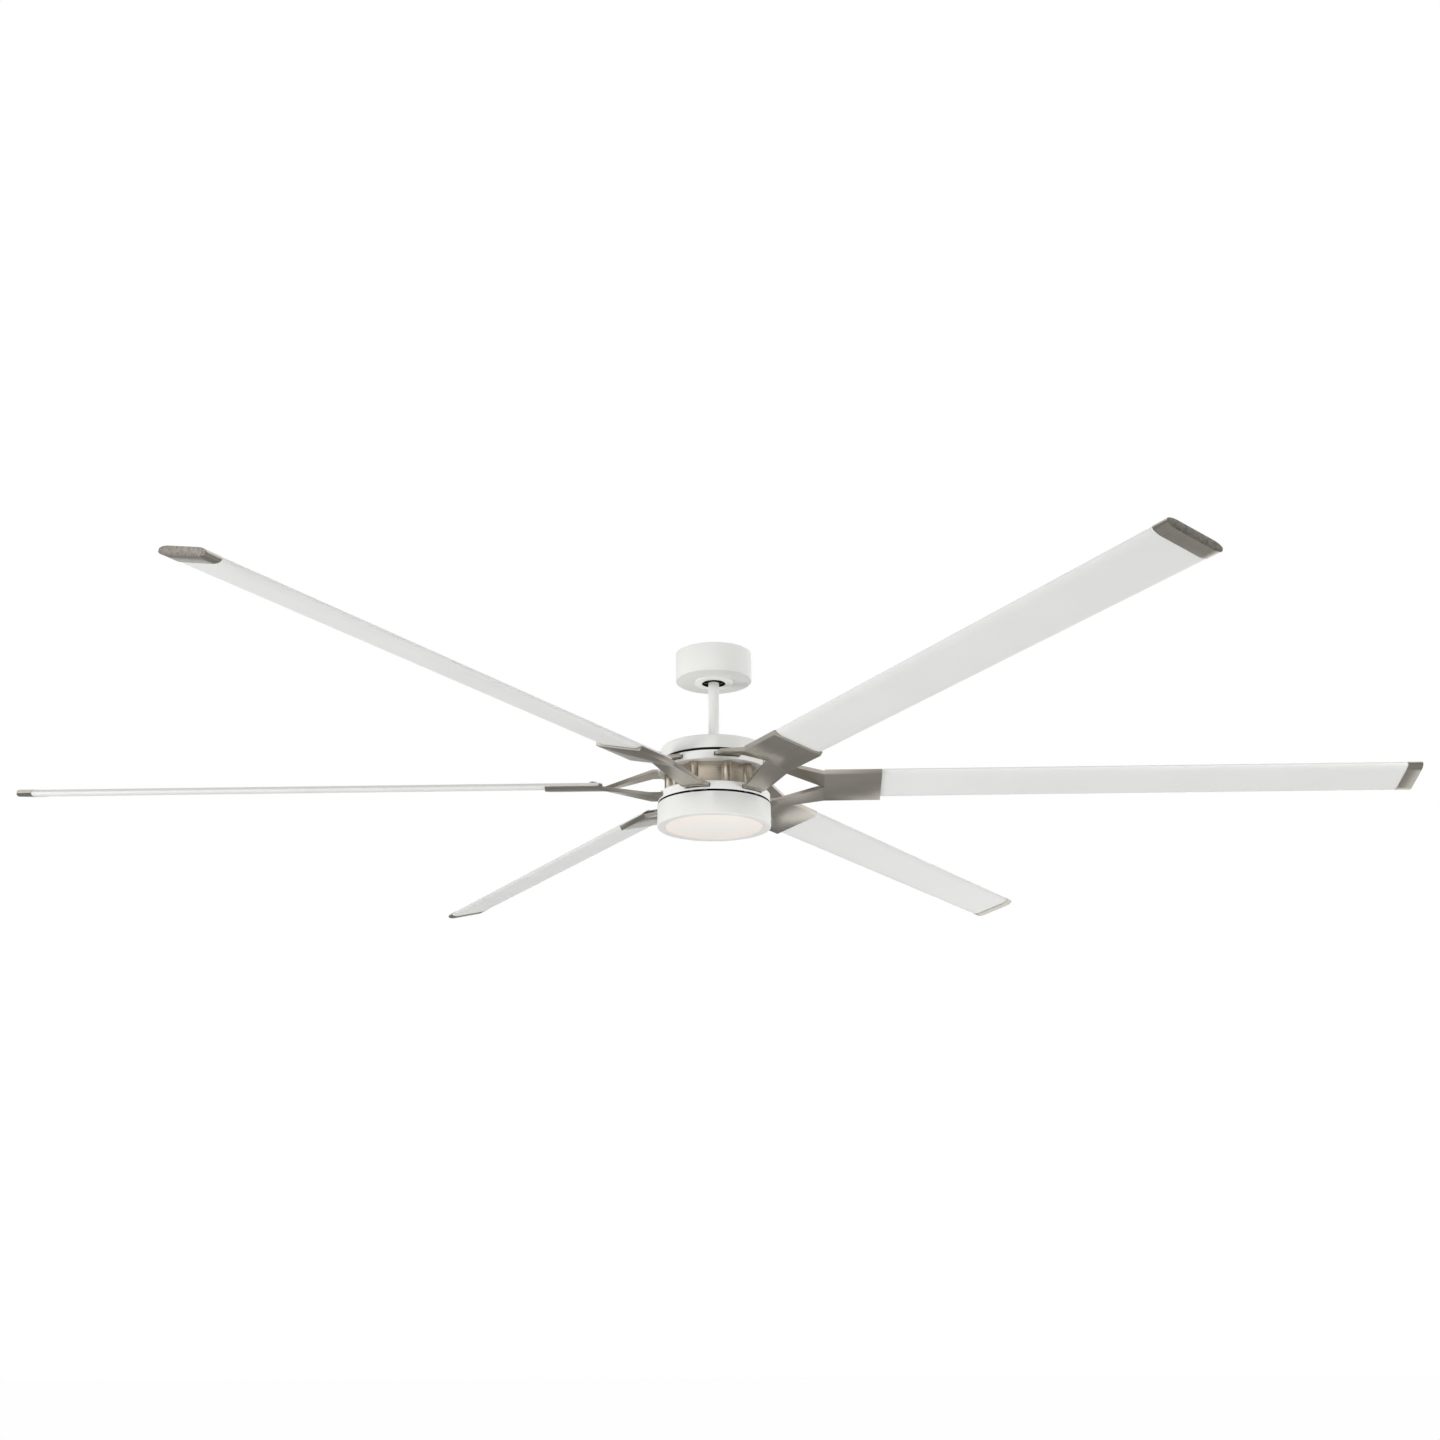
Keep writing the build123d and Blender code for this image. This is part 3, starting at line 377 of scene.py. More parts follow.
# Painted shade in matt black: inside the ring pockets and the drum, on the lower ring's lower face,
# on the drum's upper face, in the cover's hole and inside the canopy.
upper_ring_coat = coat_with_painted_shade("upper_ring_coat", "upper_ring", ring_white_painted_lighter, pocket_radius)
lower_ring_coat = coat_with_painted_shade("lower_ring_coat", "lower_ring", low_white_painted_lighter, pocket_radius,
                                   painted_shade_face="lower")
housing_coat = coat_with_painted_shade("light_housing_coat", "light_housing", ring_white_painted_lighter, drum_radius,
                                painted_shade_face="upper")
cover_coat = coat_with_painted_shade("cover_ring_coat", "canopy_cover_ring", cover_white_painted_lighter, cover_hole)
canopy_coat = coat_with_painted_shade("canopy_coat", "canopy", canopy_white_painted_lighter, canopy_inside)
print("black inside a radius of", round(pocket_radius, 4), "in the rings")

# %% [markdown]
# ## Brushed nickel
# Brushing leaves fine parallel scratches that show as streaks in colour and gloss. On the turned
# core they run round the hub, so noise squeezed along Z is enough. On the holders and tips they run
# outwards along each arm, and the six arms point six ways. Six materials would do it; here the
# shader works out which arm a point belongs to, by rounding its angle, and turns the position into
# "along the arm" and "across the arm". The cosine and sine of the rounded angle are the same at
# +180 and -180 degrees, so the arm on the seam of the arctangent gets no jump. The flat end of each
# tip isn't brushed but left as cast, darker and mottled; its place along the arm picks it out.

# %% Brushed metal
core_nickel = linear(198, 188, 171)
holder_nickel = linear(197, 191, 181)
streak_shares = (0.88, 1.08)
cast_shares = (0.42, 0.74)
cast_matt = 0.2
hub_grain = (30, 30, 2400)
arm_grain = 1500
arm_draw = 14
arm_shift = (5, 7)
cast_depth = 0.0005
tip_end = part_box("blade_tip_1")[1][0]


def brushed_metal(name, colour, grain_place, roughness, scratch):
    """Metal streaked along the places that grain_place gives, and as cast where its share is 1."""
    metal = Finish(name)
    place, cast_share = grain_place(metal)
    streak = metal.noise(scale=1.0, detail=4.0, of=place, rough=0.62)
    cloud = metal.noise(scale=14.0)
    brushed = metal.blend(metal.spread(streak, 0, 1), *(dimmed(colour, s) for s in streak_shares))
    mottle = metal.spread(metal.noise(scale=260.0, detail=3.0), 0, 1)
    cast = metal.blend(mottle, *(dimmed(colour, s) for s in cast_shares))
    wear = mixed(streak, cloud, share=0.7)
    metal.set(Base_Color=metal.blend(cast_share, brushed, cast), Metallic=1.0,
              Roughness=metal.near(wear, roughness, below=0.06) + cast_share * cast_matt,
              Normal=metal.bump(streak, scratch))
    return metal.material


def round_hub(metal):
    return metal.stretched(*hub_grain), 0.0


def along_arm(metal):
    x, y, z = metal.parts_of(metal.place)
    arm_angle = (y.math("ARCTAN2", x) / arm_step + 0.5).math("FLOOR") * arm_step
    forward_share = arm_angle.math("COSINE")
    side_share = arm_angle.math("SINE")
    along = x * forward_share + y * side_share
    across = y * forward_share - x * side_share
    streak_place = metal.vector(along * arm_draw + forward_share * arm_shift[0],
                                across * arm_grain + side_share * arm_shift[1], z * arm_grain)
    return streak_place, metal.past(along, tip_end - cast_depth)


core_metal = brushed_metal("brushed_nickel_turned", core_nickel, round_hub, roughness=0.28,
                           scratch=0.000010)
holder_metal = brushed_metal("brushed_nickel_cast", holder_nickel, along_arm, roughness=0.30,
                             scratch=0.000008)
print("made", core_metal.name, holder_metal.name)

# %% [markdown]
# ## The opal lens
# The lens is matt opal acrylic, unlit. It is painted a little warmer towards its rim: painted light
# for the thick edge, which catches light from the side. Subsurface scattering would be slow and hard
# to bake, so that painted light is a colour that follows the distance from the drive axis, which the
# lens's own position gives. A trace of painted glow stands for the light that opal acrylic scatters
# back out.

# %% Lens finish
lens_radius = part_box("lens")[1][0]
# Painted light: the lens is coloured warmer towards its rim, and it glows faintly though it is unlit.
rim_light_shares = (0.35, 0.98)
opal = Finish("opal_lens_acrylic")
lens_x, lens_y = opal.parts_of(opal.place)[:2]
rim_light_share = opal.spread(from_axis(lens_x, lens_y), 0, 1, *(lens_radius * s for s in rim_light_shares))
opal.set(Base_Color=opal.blend(rim_light_share, linear(240, 237, 232), linear(246, 236, 228)),
         Roughness=opal.near(opal.noise(scale=22.0), middle=0.51, above=0.05),
         Normal=opal.bump(opal.noise(scale=500.0), distance=0.000006),
         Emission_Color=(1.0, 0.96, 0.92, 1.0), Emission_Strength=0.04)
opal_lens = opal.material
print("lens radius", round(lens_radius, 4))

# %% [markdown]
# ## Finishes inside the canopy and hub
# These pieces are mostly hidden until the fan is opened, but each has its own look: zinc plate with
# a faint crystal mottle, ground bearing steel, a stator stacked from half-millimetre sheets, wound
# copper, dark magnets, moulded plastic, the lamp's board and its lead. Sheets and windings are
# waves along Z. The black steel of the rod coupling and the dark plastic of the hanger ball show in
# the gaps under the cap and beside the rod, where they are partly their own colour and partly
# painted shade.

# %% Hidden finishes
def mottled_metal(name, colour, roughness, scale, contrast):
    """Plated or ground metal: crystals of one size, in two shades of the colour."""
    metal = Finish(name)
    crystals = metal.value("ShaderNodeTexVoronoi", {"feature": "F1"}, Vector=metal.place, Scale=scale)
    cloud = metal.noise(scale / 6, detail=3.0)
    mottle = metal.spread(mixed(crystals, cloud, share=0.6), 0, 1, from_low=0.1, from_high=0.8)
    shade = metal.blend(mottle, dimmed(colour, 1 - contrast), dimmed(colour, 1 + contrast))
    metal.set(Base_Color=shade, Metallic=1.0, Roughness=metal.near(cloud, roughness),
              Normal=metal.bump(cloud, distance=0.000008))
    return metal.material


def striped(name, colour, dark, pitch, roughness, depth):
    """Bare metal with fine lines round the axis, one every pitch along Z."""
    finish = Finish(name)
    z = finish.parts_of(finish.place)[2]
    line = (z * (math.tau / pitch)).math("SINE") * 0.5 + 0.5
    cloud = finish.noise(scale=60.0)
    finish.set(Base_Color=finish.blend(mixed(line, cloud, share=0.8), dark, colour), Metallic=1.0,
               Roughness=finish.near(cloud, roughness), Normal=finish.bump(line, depth))
    return finish.material


def moulded(name, colour, roughness, grain=1400.0):
    """Plastic or paint with a fine moulded grain."""
    plastic = Finish(name)
    texture = plastic.noise(grain)
    cloud = plastic.noise(scale=25.0)
    shade = plastic.blend(plastic.spread(cloud, 0, 1), dimmed(colour, share=0.88), colour)
    plastic.set(Base_Color=shade, Roughness=plastic.near(texture, roughness, below=0.06),
                Normal=plastic.bump(texture, distance=0.00002))
    return plastic.material


sheet_pitch = 0.0005
wire_pitch = 0.0006
zinc_plate = mottled_metal("zinc_plate", linear(196, 197, 198),
                           roughness=0.32, scale=420.0, contrast=0.06)
bearing_steel = mottled_metal("ground_bearing_steel", linear(205, 206, 208),
                              roughness=0.16, scale=900.0, contrast=0.03)
magnet_plate = mottled_metal("magnet_plating", linear(120, 120, 124),
                             roughness=0.38, scale=260.0, contrast=0.08)
stator_sheets = striped("stator_sheets", linear(122, 120, 120), linear(70, 69, 70),
                        sheet_pitch, roughness=0.45, depth=0.00004)
copper_windings = striped("copper_windings", linear(190, 108, 60), linear(112, 52, 26),
                          wire_pitch, roughness=0.34, depth=0.00012)
# Partly painted shade: this black fills the gap under the cap, and the dark plastic the gaps beside
# the rod, so both gaps read black.
black_steel_and_gap_shade = moulded("black_painted_steel", linear(22, 22, 23), roughness=0.75)
dark_plastic = moulded("dark_moulded_plastic", linear(34, 34, 36), roughness=0.55)
lamp_board = moulded("lamp_board", linear(222, 222, 216), roughness=0.40, grain=800.0)
lead_jacket = moulded("lead_jacket", linear(216, 215, 210), roughness=0.48, grain=600.0)
print("stator sheets every", sheet_pitch, "and windings every", wire_pitch)

# %% [markdown]
# ## A finish for every slot
# Each node of the frame names a material slot, and each slot gets one finish here, so the pieces
# that stay as they are come out dressed. The hub core shares its slot with the holders but was
# turned and not cast, so it gets a finish of its own.

# %% Dress the nodes
finishes = {
    "white_enamel": white_coat, "white_cast": white_coat, "white_plastic": bezel_plastic,
    "blade_white": blade_coat, "brushed_nickel": holder_metal, "opal_lens": opal_lens,
    "plated_steel": zinc_plate, "black_steel": black_steel_and_gap_shade, "bearing_steel": bearing_steel,
    "stator_iron": stator_sheets, "magnet": magnet_plate, "copper_wire": copper_windings,
    "dark_plastic": dark_plastic, "board": lamp_board, "lead_jacket": lead_jacket,
}
for node_name, slot_name in slot_of_node.items():
    for material_slot in nodes[node_name].material_slots:
        material_slot.material = finishes[slot_name]
nodes["hub_core"].material_slots[0].material = core_metal
print("dressed", len(slot_of_node), "nodes from", len(finishes), "finishes")

# %% [markdown]
# ## Softened edges
# A real casting or pressing has no razor edge: a fraction of a millimetre of round catches the
# light as a thin bright line. The frame's meshes are loose triangles, so a copy has its doubles
# merged and its flat areas dissolved first, which leaves real edges, and then a Bevel by angle
# rounds them. A bevel shader would be quicker to write but it can't be exported. Nothing grows,
# because a bevel only takes material away.

# %% Soften helper
smooth_angle = math.radians(32)
flat_angle = math.radians(0.4)
weld_distance = 0.000002
bevel_segments = 2


def join_scene(name, mesh):
    piece = bpy.data.objects.new(name, mesh)
    bpy.context.scene.collection.objects.link(piece)
    return piece


def applied(piece, name):
    """The piece with its modifiers made real, as a new object with the same place."""
    evaluated = piece.evaluated_get(bpy.context.evaluated_depsgraph_get())
    mesh = bpy.data.meshes.new_from_object(evaluated)
    mesh.name = name
    bpy.data.objects.remove(piece)
    mesh.shade_smooth()
    mesh.set_sharp_from_angle(angle=smooth_angle)
    return join_scene(name, mesh)


def welded_copy(node_name):
    """A node's mesh as a work mesh, with its loose triangles joined up."""
    work = bmesh.new()
    work.from_mesh(nodes[node_name].data)
    bmesh.ops.remove_doubles(work, verts=work.verts, dist=weld_distance)
    return work


def softened(node_name, width, material):
    """A copy of a node with rounded edges, which stands in for it."""
    work = welded_copy(node_name)
    bmesh.ops.dissolve_limit(work, angle_limit=flat_angle, verts=work.verts, edges=work.edges)
    mesh = bpy.data.meshes.new(node_name + "_merged")
    work.to_mesh(mesh)
    work.free()
    mesh.materials.clear()
    mesh.materials.append(material)
    rough_copy = join_scene(node_name + "_merged", mesh)
    edge = rough_copy.modifiers.new("edge", "BEVEL")
    edge.width = width
    edge.segments = bevel_segments
    edge.limit_method = "ANGLE"
    edge.angle_limit = smooth_angle
    piece = applied(rough_copy, node_name + "_finished")
    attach(piece, body_of_node[node_name])
    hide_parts(node_name)
    return piece


print("edges sharper than", round(math.degrees(smooth_angle)), "degrees are rounded")

# %% [markdown]
# ## Canopy, cap, rings and light drum
# Pressed and cast pieces with different edges: the thin pressings turn tightly, the cast rings and
# the moulded bezel are rounder. Each width is what such a piece has, in metres.

# %% Round pieces
edge_widths = {
    "canopy": (0.0004, canopy_coat), "canopy_cover_ring": (0.0003, cover_coat),
    "downrod": (0.0003, white_coat), "top_cap": (0.0004, white_coat),
    "upper_ring": (0.0005, upper_ring_coat), "lower_ring": (0.0005, lower_ring_coat),
    "light_housing": (0.0004, housing_coat), "bezel_ring": (0.0006, bezel_plastic),
    "lens": (0.0005, opal_lens), "hub_core": (0.0005, core_metal),
}
for node_name, (width, material) in edge_widths.items():
    piece = softened(node_name, width, material)
    print(node_name, "faces", len(piece.data.polygons))

# %% [markdown]
# ## Blade holders and tips
# The die-cast holder is the piece that shows the most metal, with its shallow tray, the lips along
# the blade and the two legs that bend to the rings. The tip is a cap pressed on the blade's end.
# Both are polished before they are plated, so their edges are round: 0.7 mm on the holder and
# 0.6 mm on the tip.

# %% Holders and tips
holder_edge = 0.0007
tip_edge = 0.0006
for arm in range(1, blade_count + 1):
    holder = softened("blade_holder_%d" % arm, holder_edge, holder_metal)
    tip = softened("blade_tip_%d" % arm, tip_edge, holder_metal)
print("holder faces", len(holder.data.polygons), "tip faces", len(tip.data.polygons))

# %% [markdown]
# ## Trees that make shapes
# A Geometry Nodes tree is a function: named sizes go in and a mesh comes out. Run as a modifier it
# stays live, but the export wants plain meshes, so `build` sets each size by its socket's
# identifier, evaluates the object once and keeps the result. Instances are realized and the
# material is set at the end of the tree, so that nothing of either is lost on the way.

# %% Shape helper
class Shape(NodeTree):
    """A Geometry Nodes tree with named number inputs."""

    def __init__(self, name, inputs):
        self.group = bpy.data.node_groups.new(name, "GeometryNodeTree")
        super().__init__(self.group)
        self.sockets = {}
        for title in inputs:
            kind = "NodeSocketGeometry" if title == "Geometry" else "NodeSocketFloat"
            self.sockets[title] = self.group.interface.new_socket(
                title, in_out="INPUT", socket_type=kind)
        self.group.interface.new_socket(
            "Geometry", in_out="OUTPUT", socket_type="NodeSocketGeometry")
        self.entry = self.group.nodes.new("NodeGroupInput")
        self.exit = self.group.nodes.new("NodeGroupOutput")

    def given(self, title):
        return Value(self, self.entry.outputs[title])

    def joined(self, *parts):
        """Several geometries as one."""
        node = self.group.nodes.new("GeometryNodeJoinGeometry")
        for part in parts:
            self.feed(node.inputs[0], part)
        return node.outputs[0]

    def finish(self, geometry, material):
        """Realize the instances, set the material and hand the result over."""
        real = self.add("GeometryNodeRealizeInstances", {}, geometry)
        dressed = self.add("GeometryNodeSetMaterial", {}, real, Material=material)
        self.group.links.new(dressed, self.exit.inputs[0])

    def build(self, name, sizes, base=None):
        """Run the tree with its sizes and return the result as a plain mesh object."""
        piece = join_scene(name + "_tree", base or bpy.data.meshes.new(name + "_base"))
        modifier = piece.modifiers.new("shape", "NODES")
        modifier.node_group = self.group
        for title, size in sizes.items():
            modifier[self.sockets[title].identifier] = float(size)
        return applied(piece, name)


print("shape helpers", [name for name in vars(Shape) if not name.startswith("_")])

# %% [markdown]
# ## The blades, by rule
# The blade is an extrusion: one section pushed straight along the arm. Its outline is flat in the
# middle with a half ellipse at each edge, hollow inside with two webs. Drawing it as a list of
# points would freeze it, so a Geometry Nodes tree computes it: each point of a circle of curve
# points gets its place from its own angle. Clamping the same outline between two limits gives the
# three hollow chambers.

# %% Blade section
blade_sizes = {
    "Half chord": 0.044,
    "Half thickness": 0.0056,
    "Edge": 0.016,
    "Wall": 0.0014,
    "Web offset": 0.014,
    "Pitch": math.radians(15),
    "Root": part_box("blade_1")[0][0],
    "End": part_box("blade_1")[1][0],
    "Middle": (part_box("hub_core")[0][2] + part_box("hub_core")[1][2]) / 2,
}
outline_points = 96
blade_shape = Shape("blade_extrusion", blade_sizes)
half_chord, half_thickness, edge_size, wall, web_place, pitch, root, end, middle = (
    blade_shape.given(title) for title in blade_sizes)


def loop(inset, low, high):
    """A closed outline, inset from the skin and clamped between two places along the chord."""
    circle = blade_shape.add("GeometryNodeCurvePrimitiveCircle", {"mode": "RADIUS"}, outline_points)
    index = blade_shape.value("GeometryNodeInputIndex", {})
    angle = (index + 0.5) * (math.tau / outline_points)
    side = angle.math("COSINE")
    along_chord = side.math("SIGN") * (half_chord - edge_size) + side * (edge_size - inset)
    held = along_chord.math("MAXIMUM", low).math("MINIMUM", high)
    through = angle.math("SINE") * (half_thickness - inset)
    return blade_shape.add("GeometryNodeSetPosition", {}, circle,
                           Position=blade_shape.vector(held, through, 0))


web_half = wall * 0.5
skin = loop(0.0, half_chord * -1, half_chord)
middle_chamber = loop(wall, (web_place - web_half) * -1, web_place - web_half)
front_chamber = loop(wall, web_place + web_half, half_chord)
back_chamber = loop(wall, half_chord * -1, (web_place + web_half) * -1)
loops = blade_shape.joined(skin, middle_chamber, front_chamber, back_chamber)
section = blade_shape.add("GeometryNodeFillCurve", {"mode": "TRIANGLES"}, loops)
print("blade sizes", {title: round(size, 4) for title, size in blade_sizes.items()})

# %% [markdown]
# ## From a section to six blades
# The four loops are filled as one flat face with holes, and the face is extruded along the arm. The
# extrusion leaves its first end open, so the flipped face closes it. Then the blade is pitched by
# one formula of its points, and instances of it are turned round the hub, one on each arm.

# %% Blades
blade_weld = 0.000001
pushed = blade_shape.add("GeometryNodeExtrudeMesh", {"mode": "FACES"}, section,
                         Offset=blade_shape.vector(0, 0, 1), Offset_Scale=end - root,
                         Individual=False)
turned_face = blade_shape.add("GeometryNodeFlipFaces", {}, section)
welded = blade_shape.add("GeometryNodeMergeByDistance", {}, blade_shape.joined(pushed, turned_face),
                         Distance=blade_weld)
chord, depth, reach = blade_shape.parts_of(blade_shape.add("GeometryNodeInputPosition", {}))
pitched = blade_shape.vector(
    root + reach, chord * pitch.math("COSINE") + depth * pitch.math("SINE"),
    middle - chord * pitch.math("SINE") + depth * pitch.math("COSINE"))
one_blade = blade_shape.add("GeometryNodeSetPosition", {}, welded, Position=pitched)
arm_points = blade_shape.add("GeometryNodePoints", {}, blade_count)
arm_turn = blade_shape.value("GeometryNodeInputIndex", {}) * arm_step
all_blades = blade_shape.add("GeometryNodeInstanceOnPoints", {}, arm_points, Instance=one_blade,
                             Rotation=blade_shape.vector(0, 0, arm_turn))
blade_shape.finish(all_blades, blade_coat)
blades = blade_shape.build("blades", blade_sizes)
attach(blades, "rotor")
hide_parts(*blade_names)
blade_xs = [v.co.x for v in blades.data.vertices]
print("blades", len(blades.data.polygons), "faces, span", round(max(blade_xs) - min(blade_xs), 4))

# %% [markdown]
# ## Where the screws are
# Sixty-odd machine screws of six kinds hold the fan together. They differ only in size, so one
# tree will make them all. Their places are read from the frame's own screws: each loose island of a
# node is one screw, its wide end is the head, and the step between wide and narrow is the seat.

# %% Find the screws
rim_share = 0.99
same_height = 0.00002


def centre_of(points):
    return sum(points, Vector()) / len(points)


def islands_of(node_name):
    """The separate solids of a node, each as a list of points in the mesh's own order."""
    work = welded_copy(node_name)
    seen = set()
    found = []
    for start in work.verts:
        if start in seen:
            continue
        seen.add(start)
        stack = [start]
        island = []
        while stack:
            vertex = stack.pop()
            island.append(vertex.co.copy())
            neighbours = [edge.other_vert(vertex) for edge in vertex.link_edges]
            fresh = [other for other in neighbours if other not in seen]
            seen.update(fresh)
            stack.extend(fresh)
        found.append(island)
    work.free()
    return sorted(found, key=lambda points: [round(c, 4) for c in centre_of(points)])


def measured(points, axis):
    """A screw's seat, outward axis and sizes, from its points and the line that it lies along."""
    centre = centre_of(points)
    heights = [(p - centre).dot(axis) for p in points]
    radii = [((p - centre) - axis * h).length for p, h in zip(points, heights)]
    head_radius = max(radii)
    head_heights = [h for h, r in zip(heights, radii) if r > head_radius * rim_share]
    facing = 1 if sum(head_heights) > 0 else -1
    seat = min(head_heights, key=lambda h: h * facing)
    far = min(heights, key=lambda h: h * facing)
    shank_radius = max(r for h, r in zip(heights, radii) if abs(h - far) < same_height)
    return {"seat": centre + axis * seat, "axis": axis * facing, "Head radius": head_radius,
            "Head height": max(head_heights) - min(head_heights), "Shank radius": shank_radius,
            "Shank length": abs(seat - far)}


def arm_axis(points):
    """The pitched line of a blade screw, square to its own blade."""
    centre = centre_of(points)
    arm = round(math.atan2(centre.y, centre.x) / arm_step)
    blade_pitch = blade_sizes["Pitch"]
    tilt = Vector((0, math.sin(blade_pitch), math.cos(blade_pitch)))
    return Matrix.Rotation(arm * arm_step, 3, "Z") @ tilt


def drive_axis(points):
    return Vector((0, 0, 1))


screw_axes = {"blade_screws": arm_axis, "holder_screws": drive_axis, "hub_bolts": drive_axis,
              "canopy_screws": drive_axis, "top_cap_screws": drive_axis,
              "light_screws": drive_axis}
screw_titles = ["Head radius", "Head height", "Shank radius", "Shank length"]
screws_found = {name: [measured(points, axis_of(points)) for points in islands_of(name)]
                for name, axis_of in screw_axes.items()}
for name, found in screws_found.items():
    print(name, len(found), {title: round(found[0][title] * 1000, 2) for title in screw_titles})

# %% [markdown]
# ## One screw by rule
# A grid rolled round the axis becomes the head. Two Float Curves give its profile, from the rim
# over the dome and down into the socket, and the socket's wall is pushed out to a hexagon by its
# angle. The tree puts a screw on every point it is given, turned to the point's own axis.

# %% Screw tree
screw_shape = Shape("socket_screw", ["Geometry"] + screw_titles)
profile_rows = 17
sides_round = 36
shank_sides = 24
socket_start = 0.68
sixth = math.tau / 6
# Each row is a step along the profile, with its shares of the head's radius and of its height.
profile_shares = [
    (0, 0.0, 0.0), (0.12, 1.0, 0.0), (0.25, 1.0, 0.55), (0.38, 0.94, 0.84), (0.50, 0.78, 0.97),
    (0.62, 0.55, 1.0), (0.74, 0.55, 0.90), (0.88, 0.50, 0.32), (1, 0.0, 0.30)]
grid = screw_shape.add("GeometryNodeMeshGrid", {}, 1.0, 1.0, profile_rows, sides_round + 1)
place_in_grid = screw_shape.parts_of(screw_shape.add("GeometryNodeInputPosition", {}))
step = place_in_grid[0] + 0.5
turn_angle = (place_in_grid[1] + 0.5) * math.tau


def profile(column):
    """A Float Curve of one column of the profile's shares."""
    spots = [(row[0], row[column]) for row in profile_shares]
    return screw_shape.value("ShaderNodeFloatCurve", {"points": spots}, 1.0, step)


radius_share = profile(1)
height_share = profile(2)
from_flat = turn_angle.math("MODULO", sixth) - sixth / 2
hexagon = math.cos(sixth / 2) / from_flat.math("COSINE")
in_socket = step.math("GREATER_THAN", socket_start)
corner = 1 + in_socket * (hexagon - 1)
head_radius = screw_shape.given("Head radius") * radius_share * corner
head_height = screw_shape.given("Head height") * height_share
rolled = screw_shape.add("GeometryNodeSetPosition", {}, grid, Position=screw_shape.vector(
    head_radius * turn_angle.math("COSINE"), head_radius * turn_angle.math("SINE"), head_height))
head = screw_shape.add("GeometryNodeMergeByDistance", {}, rolled, Distance=weld_distance)
shank_length = screw_shape.given("Shank length")
shank = screw_shape.add("GeometryNodeMeshCylinder", {"fill_type": "NGON"}, shank_sides, 1, 1,
                        screw_shape.given("Shank radius"), shank_length)
shank_down = screw_shape.add("GeometryNodeTransform", {}, shank,
                             Translation=screw_shape.vector(0, 0, shank_length * -0.5))
screw = screw_shape.joined(head, shank_down)
axis_of_point = screw_shape.add("GeometryNodeInputNamedAttribute", {"data_type": "FLOAT_VECTOR"},
                                "axis")
facing_out = screw_shape.add("FunctionNodeAlignRotationToVector", {"axis": "Z"},
                             Vector=axis_of_point)
placed = screw_shape.add("GeometryNodeInstanceOnPoints", {}, screw_shape.given("Geometry"),
                         Instance=screw, Rotation=facing_out)
screw_shape.finish(placed, zinc_plate)
print("screw tree nodes", len(screw_shape.nodes_in.nodes))

# %% [markdown]
# ## Screws on their seats
# Each kind of screw gets a mesh of bare points, one on each seat, with the screw's axis stored on
# the point. The tree runs on those points with the sizes of that kind.

# %% Place the screws
for name, found in screws_found.items():
    base = bpy.data.meshes.new(name + "_places")
    base.from_pydata([s["seat"] for s in found], [], [])
    axis_layer = base.attributes.new("axis", "FLOAT_VECTOR", "POINT")
    for index, each in enumerate(found):
        axis_layer.data[index].vector = each["axis"]
    piece = screw_shape.build(name + "_finished", {t: found[0][t] for t in screw_titles}, base)
    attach(piece, body_of_node[name])
    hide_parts(name)
    print(name, "screws", len(found), "faces", len(piece.data.polygons))

# %% [markdown]
# ## The floor
# The photograph's background is white. The camera sees the floor almost as pure white light, with a
# trace of its own shade, and everything else gets a pale grey floor, so the white is never more
# light on the fan. A ceiling fan is mostly looked at from below, so the floor is clear from its
# underside: a camera under it sees the fan and not a white sheet.

# %% Floor
floor_height = -3.2
floor_half = 60.0
glow_share = 0.985
floor_grey = linear(166, 166, 165)

floor_mesh = bpy.data.meshes.new("floor")
floor_mesh.from_pydata([(x * floor_half, y * floor_half, floor_height)
                        for x, y in ((-1, -1), (1, -1), (1, 1), (-1, 1))], [], [(0, 1, 2, 3)])
floor = join_scene("floor", floor_mesh)
floor_paint = Finish("pale_floor")
floor_paint.set(Base_Color=floor_grey, Roughness=0.9)
camera_sees = floor_paint.value("ShaderNodeLightPath", {}, output="Is Camera Ray") * glow_share
glow = floor_paint.add("ShaderNodeEmission", {}, (1, 1, 1), 1.0)
painted = floor_paint.shader.outputs[0]
topside = floor_paint.add("ShaderNodeMixShader", {}, camera_sees, painted, glow)
from_below = floor_paint.add("ShaderNodeNewGeometry", {}, output="Backfacing")
clear = floor_paint.add("ShaderNodeBsdfTransparent", {})
one_sided = floor_paint.add("ShaderNodeMixShader", {}, from_below, topside, clear)
floor_output = next(n for n in floor_paint.nodes_in.nodes if n.type == "OUTPUT_MATERIAL")
floor_paint.nodes_in.links.new(one_sided, floor_output.inputs["Surface"])
floor.data.materials.append(floor_paint.material)
print("floor at", floor_height)

# %% [markdown]
# ## What the metal sees
# Brushed nickel has almost no colour of its own: it shows the room. One flat white world makes it
# look like beige plastic. In the photograph the faces turned to the front left and to the back
# right are bright and those turned to the front right are dark, so the world that glossy rays see
# is graded the same way: the product of the direction's x and y is high in two opposite quarters
# and low in the other two, a term in z squared lifts the top and the bottom, the horizon behind the
# fan, which the undersides of the far blades' tips show, is the brightest, and a last term darkens
# the front right once more. Diffuse light stays even, and the camera sees plain white.

# %% World
world_strength = 0.58
mirror_middle = 0.68
mirror_quarters = 0.55
mirror_top = 0.40
mirror_back = 0.45
mirror_front_right = 0.3

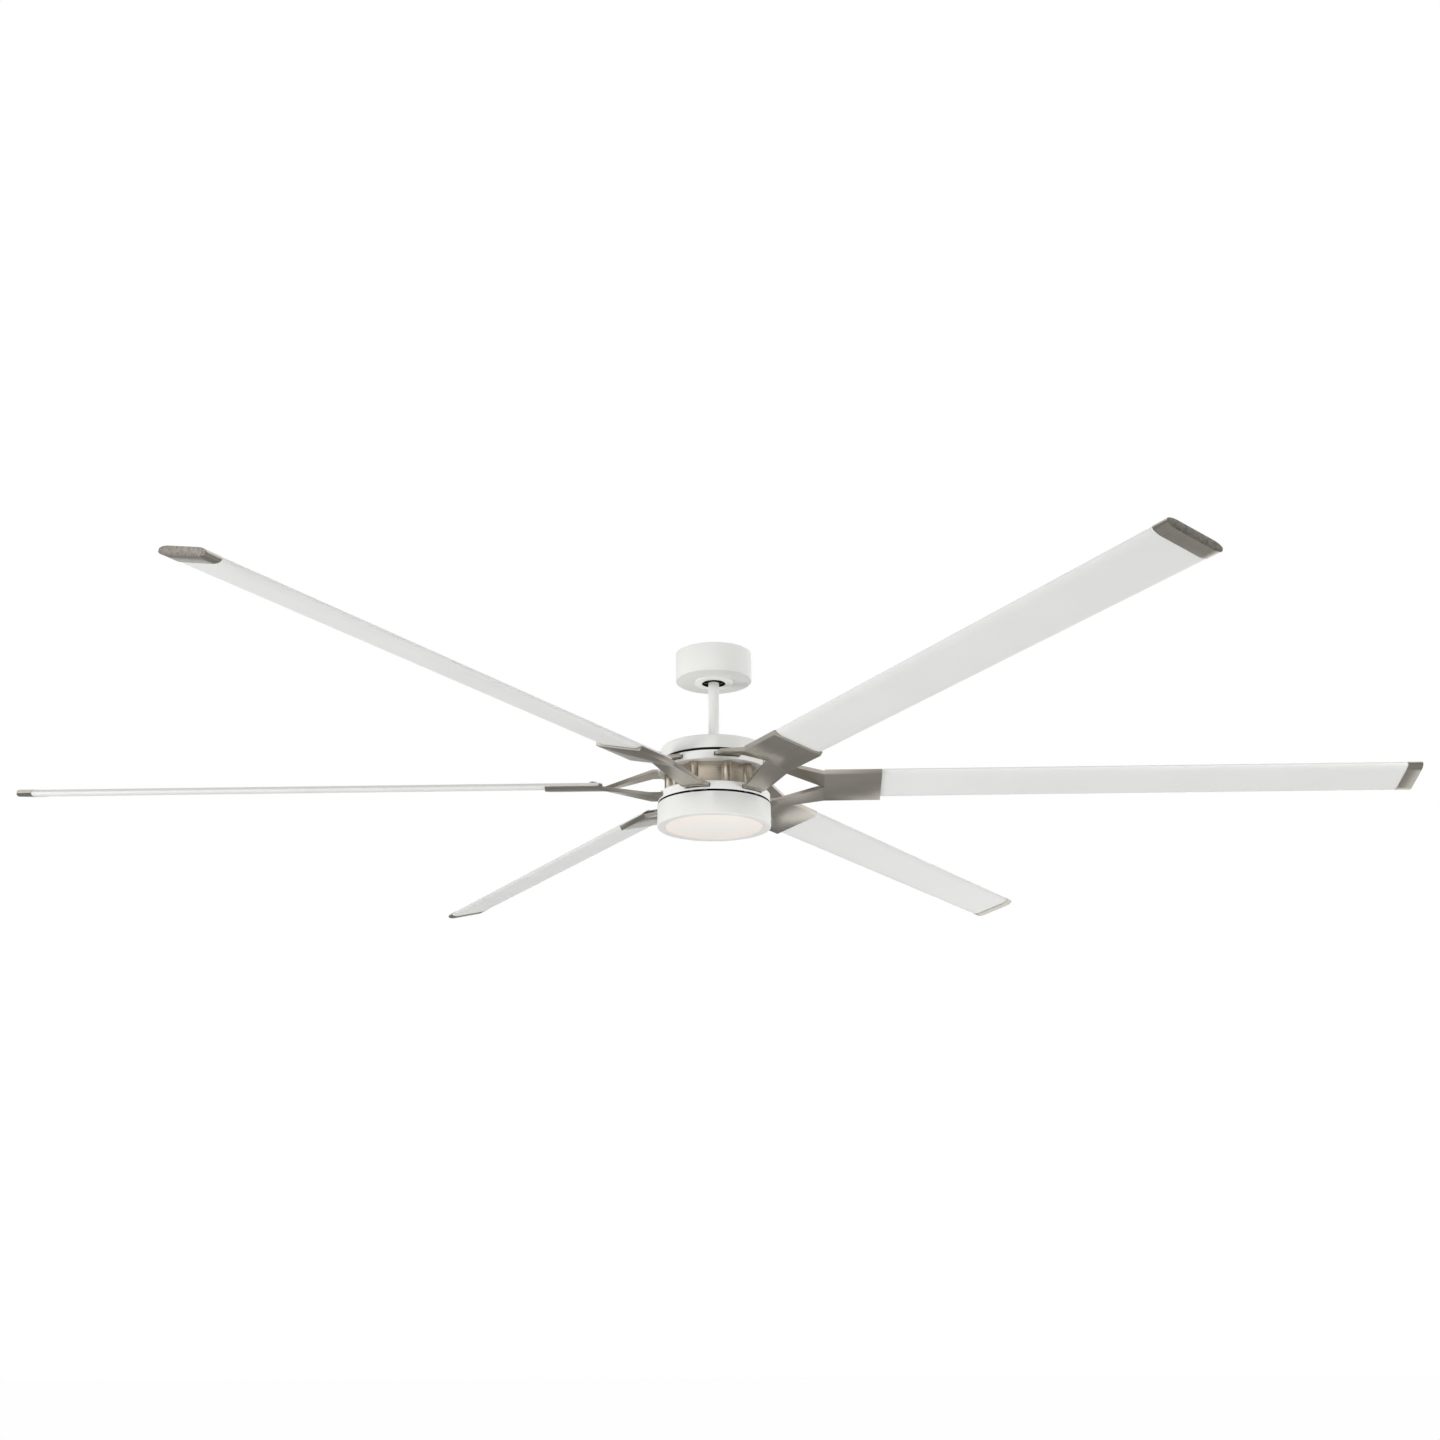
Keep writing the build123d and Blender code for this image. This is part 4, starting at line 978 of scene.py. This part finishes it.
world = bpy.data.worlds.new("studio")
world.use_nodes = True
bpy.context.scene.world = world
sky = NodeTree(world.node_tree)
background = next(n for n in sky.nodes_in.nodes if n.type == "BACKGROUND")
ray = sky.nodes_in.nodes.new("ShaderNodeLightPath")
camera_ray = Value(sky, ray.outputs["Is Camera Ray"])
glossy_ray = Value(sky, ray.outputs["Is Glossy Ray"])
mirror_ray = glossy_ray.math("MAXIMUM", ray.outputs["Is Transmission Ray"])
east, north, upward = sky.parts_of(sky.add("ShaderNodeTexCoord", {}, output="Generated"))
front_right = east.math("MAXIMUM", 0) * (north * -1).math("MAXIMUM", 0)
mirrored = (mirror_middle + east * north * mirror_quarters + upward * upward * mirror_top
            + north.math("MAXIMUM", 0) * north * mirror_back - front_right * mirror_front_right)
strength = world_strength + mirror_ray * (mirrored - world_strength)
sky.feed(background.inputs["Strength"], strength + camera_ray * (1 - strength))
sky.feed(background.inputs["Color"], (1, 1, 1))
print("world at", world_strength, "for diffuse light and 1 for the camera")

# %% [markdown]
# ## Soft lamps
# Each lamp is an area light as wide as a studio softbox, 1.2 to 2.6 m. The fan was rendered once
# for each lamp alone, and a least-squares fit weighed them so that the white pieces come out as
# pale as in the photograph; their powers were then trimmed against its shades. The lamps only lift
# the shade and stay out of reflections. The two cards are wider, and brushed metal mirrors them.

# %% Lamps
def soft_lamp(name, place, width, power, in_mirror=False):
    """A square lamp turned to the hub, with its place and width in metres and power in watts."""
    lamp = bpy.data.objects.new(name, bpy.data.lights.new(name, "AREA"))
    bpy.context.scene.collection.objects.link(lamp)
    lamp.data.size = width
    lamp.data.energy = power
    lamp.location = place
    towards_hub = Vector((0, 0, blade_sizes["Middle"])) - Vector(place)
    lamp.rotation_euler = towards_hub.to_track_quat("-Z", "Y").to_euler()
    lamp.visible_glossy = in_mirror


soft_lamp("key_left", (-3.2, -2.6, 0.6), width=1.3, power=22)
soft_lamp("card_front_left", (-3.2, -2.2, 0.6), width=2.4, power=12, in_mirror=True)
soft_lamp("fill_below", (0.8, -2.2, -2.8), width=1.2, power=22)
soft_lamp("fill_right", (3.2, -1.8, -0.6), width=1.2, power=56)
soft_lamp("low_left", (-3.0, -1.2, -1.8), width=1.3, power=61)
soft_lamp("low_back", (0.3, 2.6, -2.4), width=1.2, power=28)
soft_lamp("under", (0, 0.3, -3.0), width=1.4, power=8)
soft_lamp("card_back_right", (1.9, 2.8, -1.0), width=2.6, power=19, in_mirror=True)
bpy.context.scene.view_settings.view_transform = "Standard"

# %% [markdown]
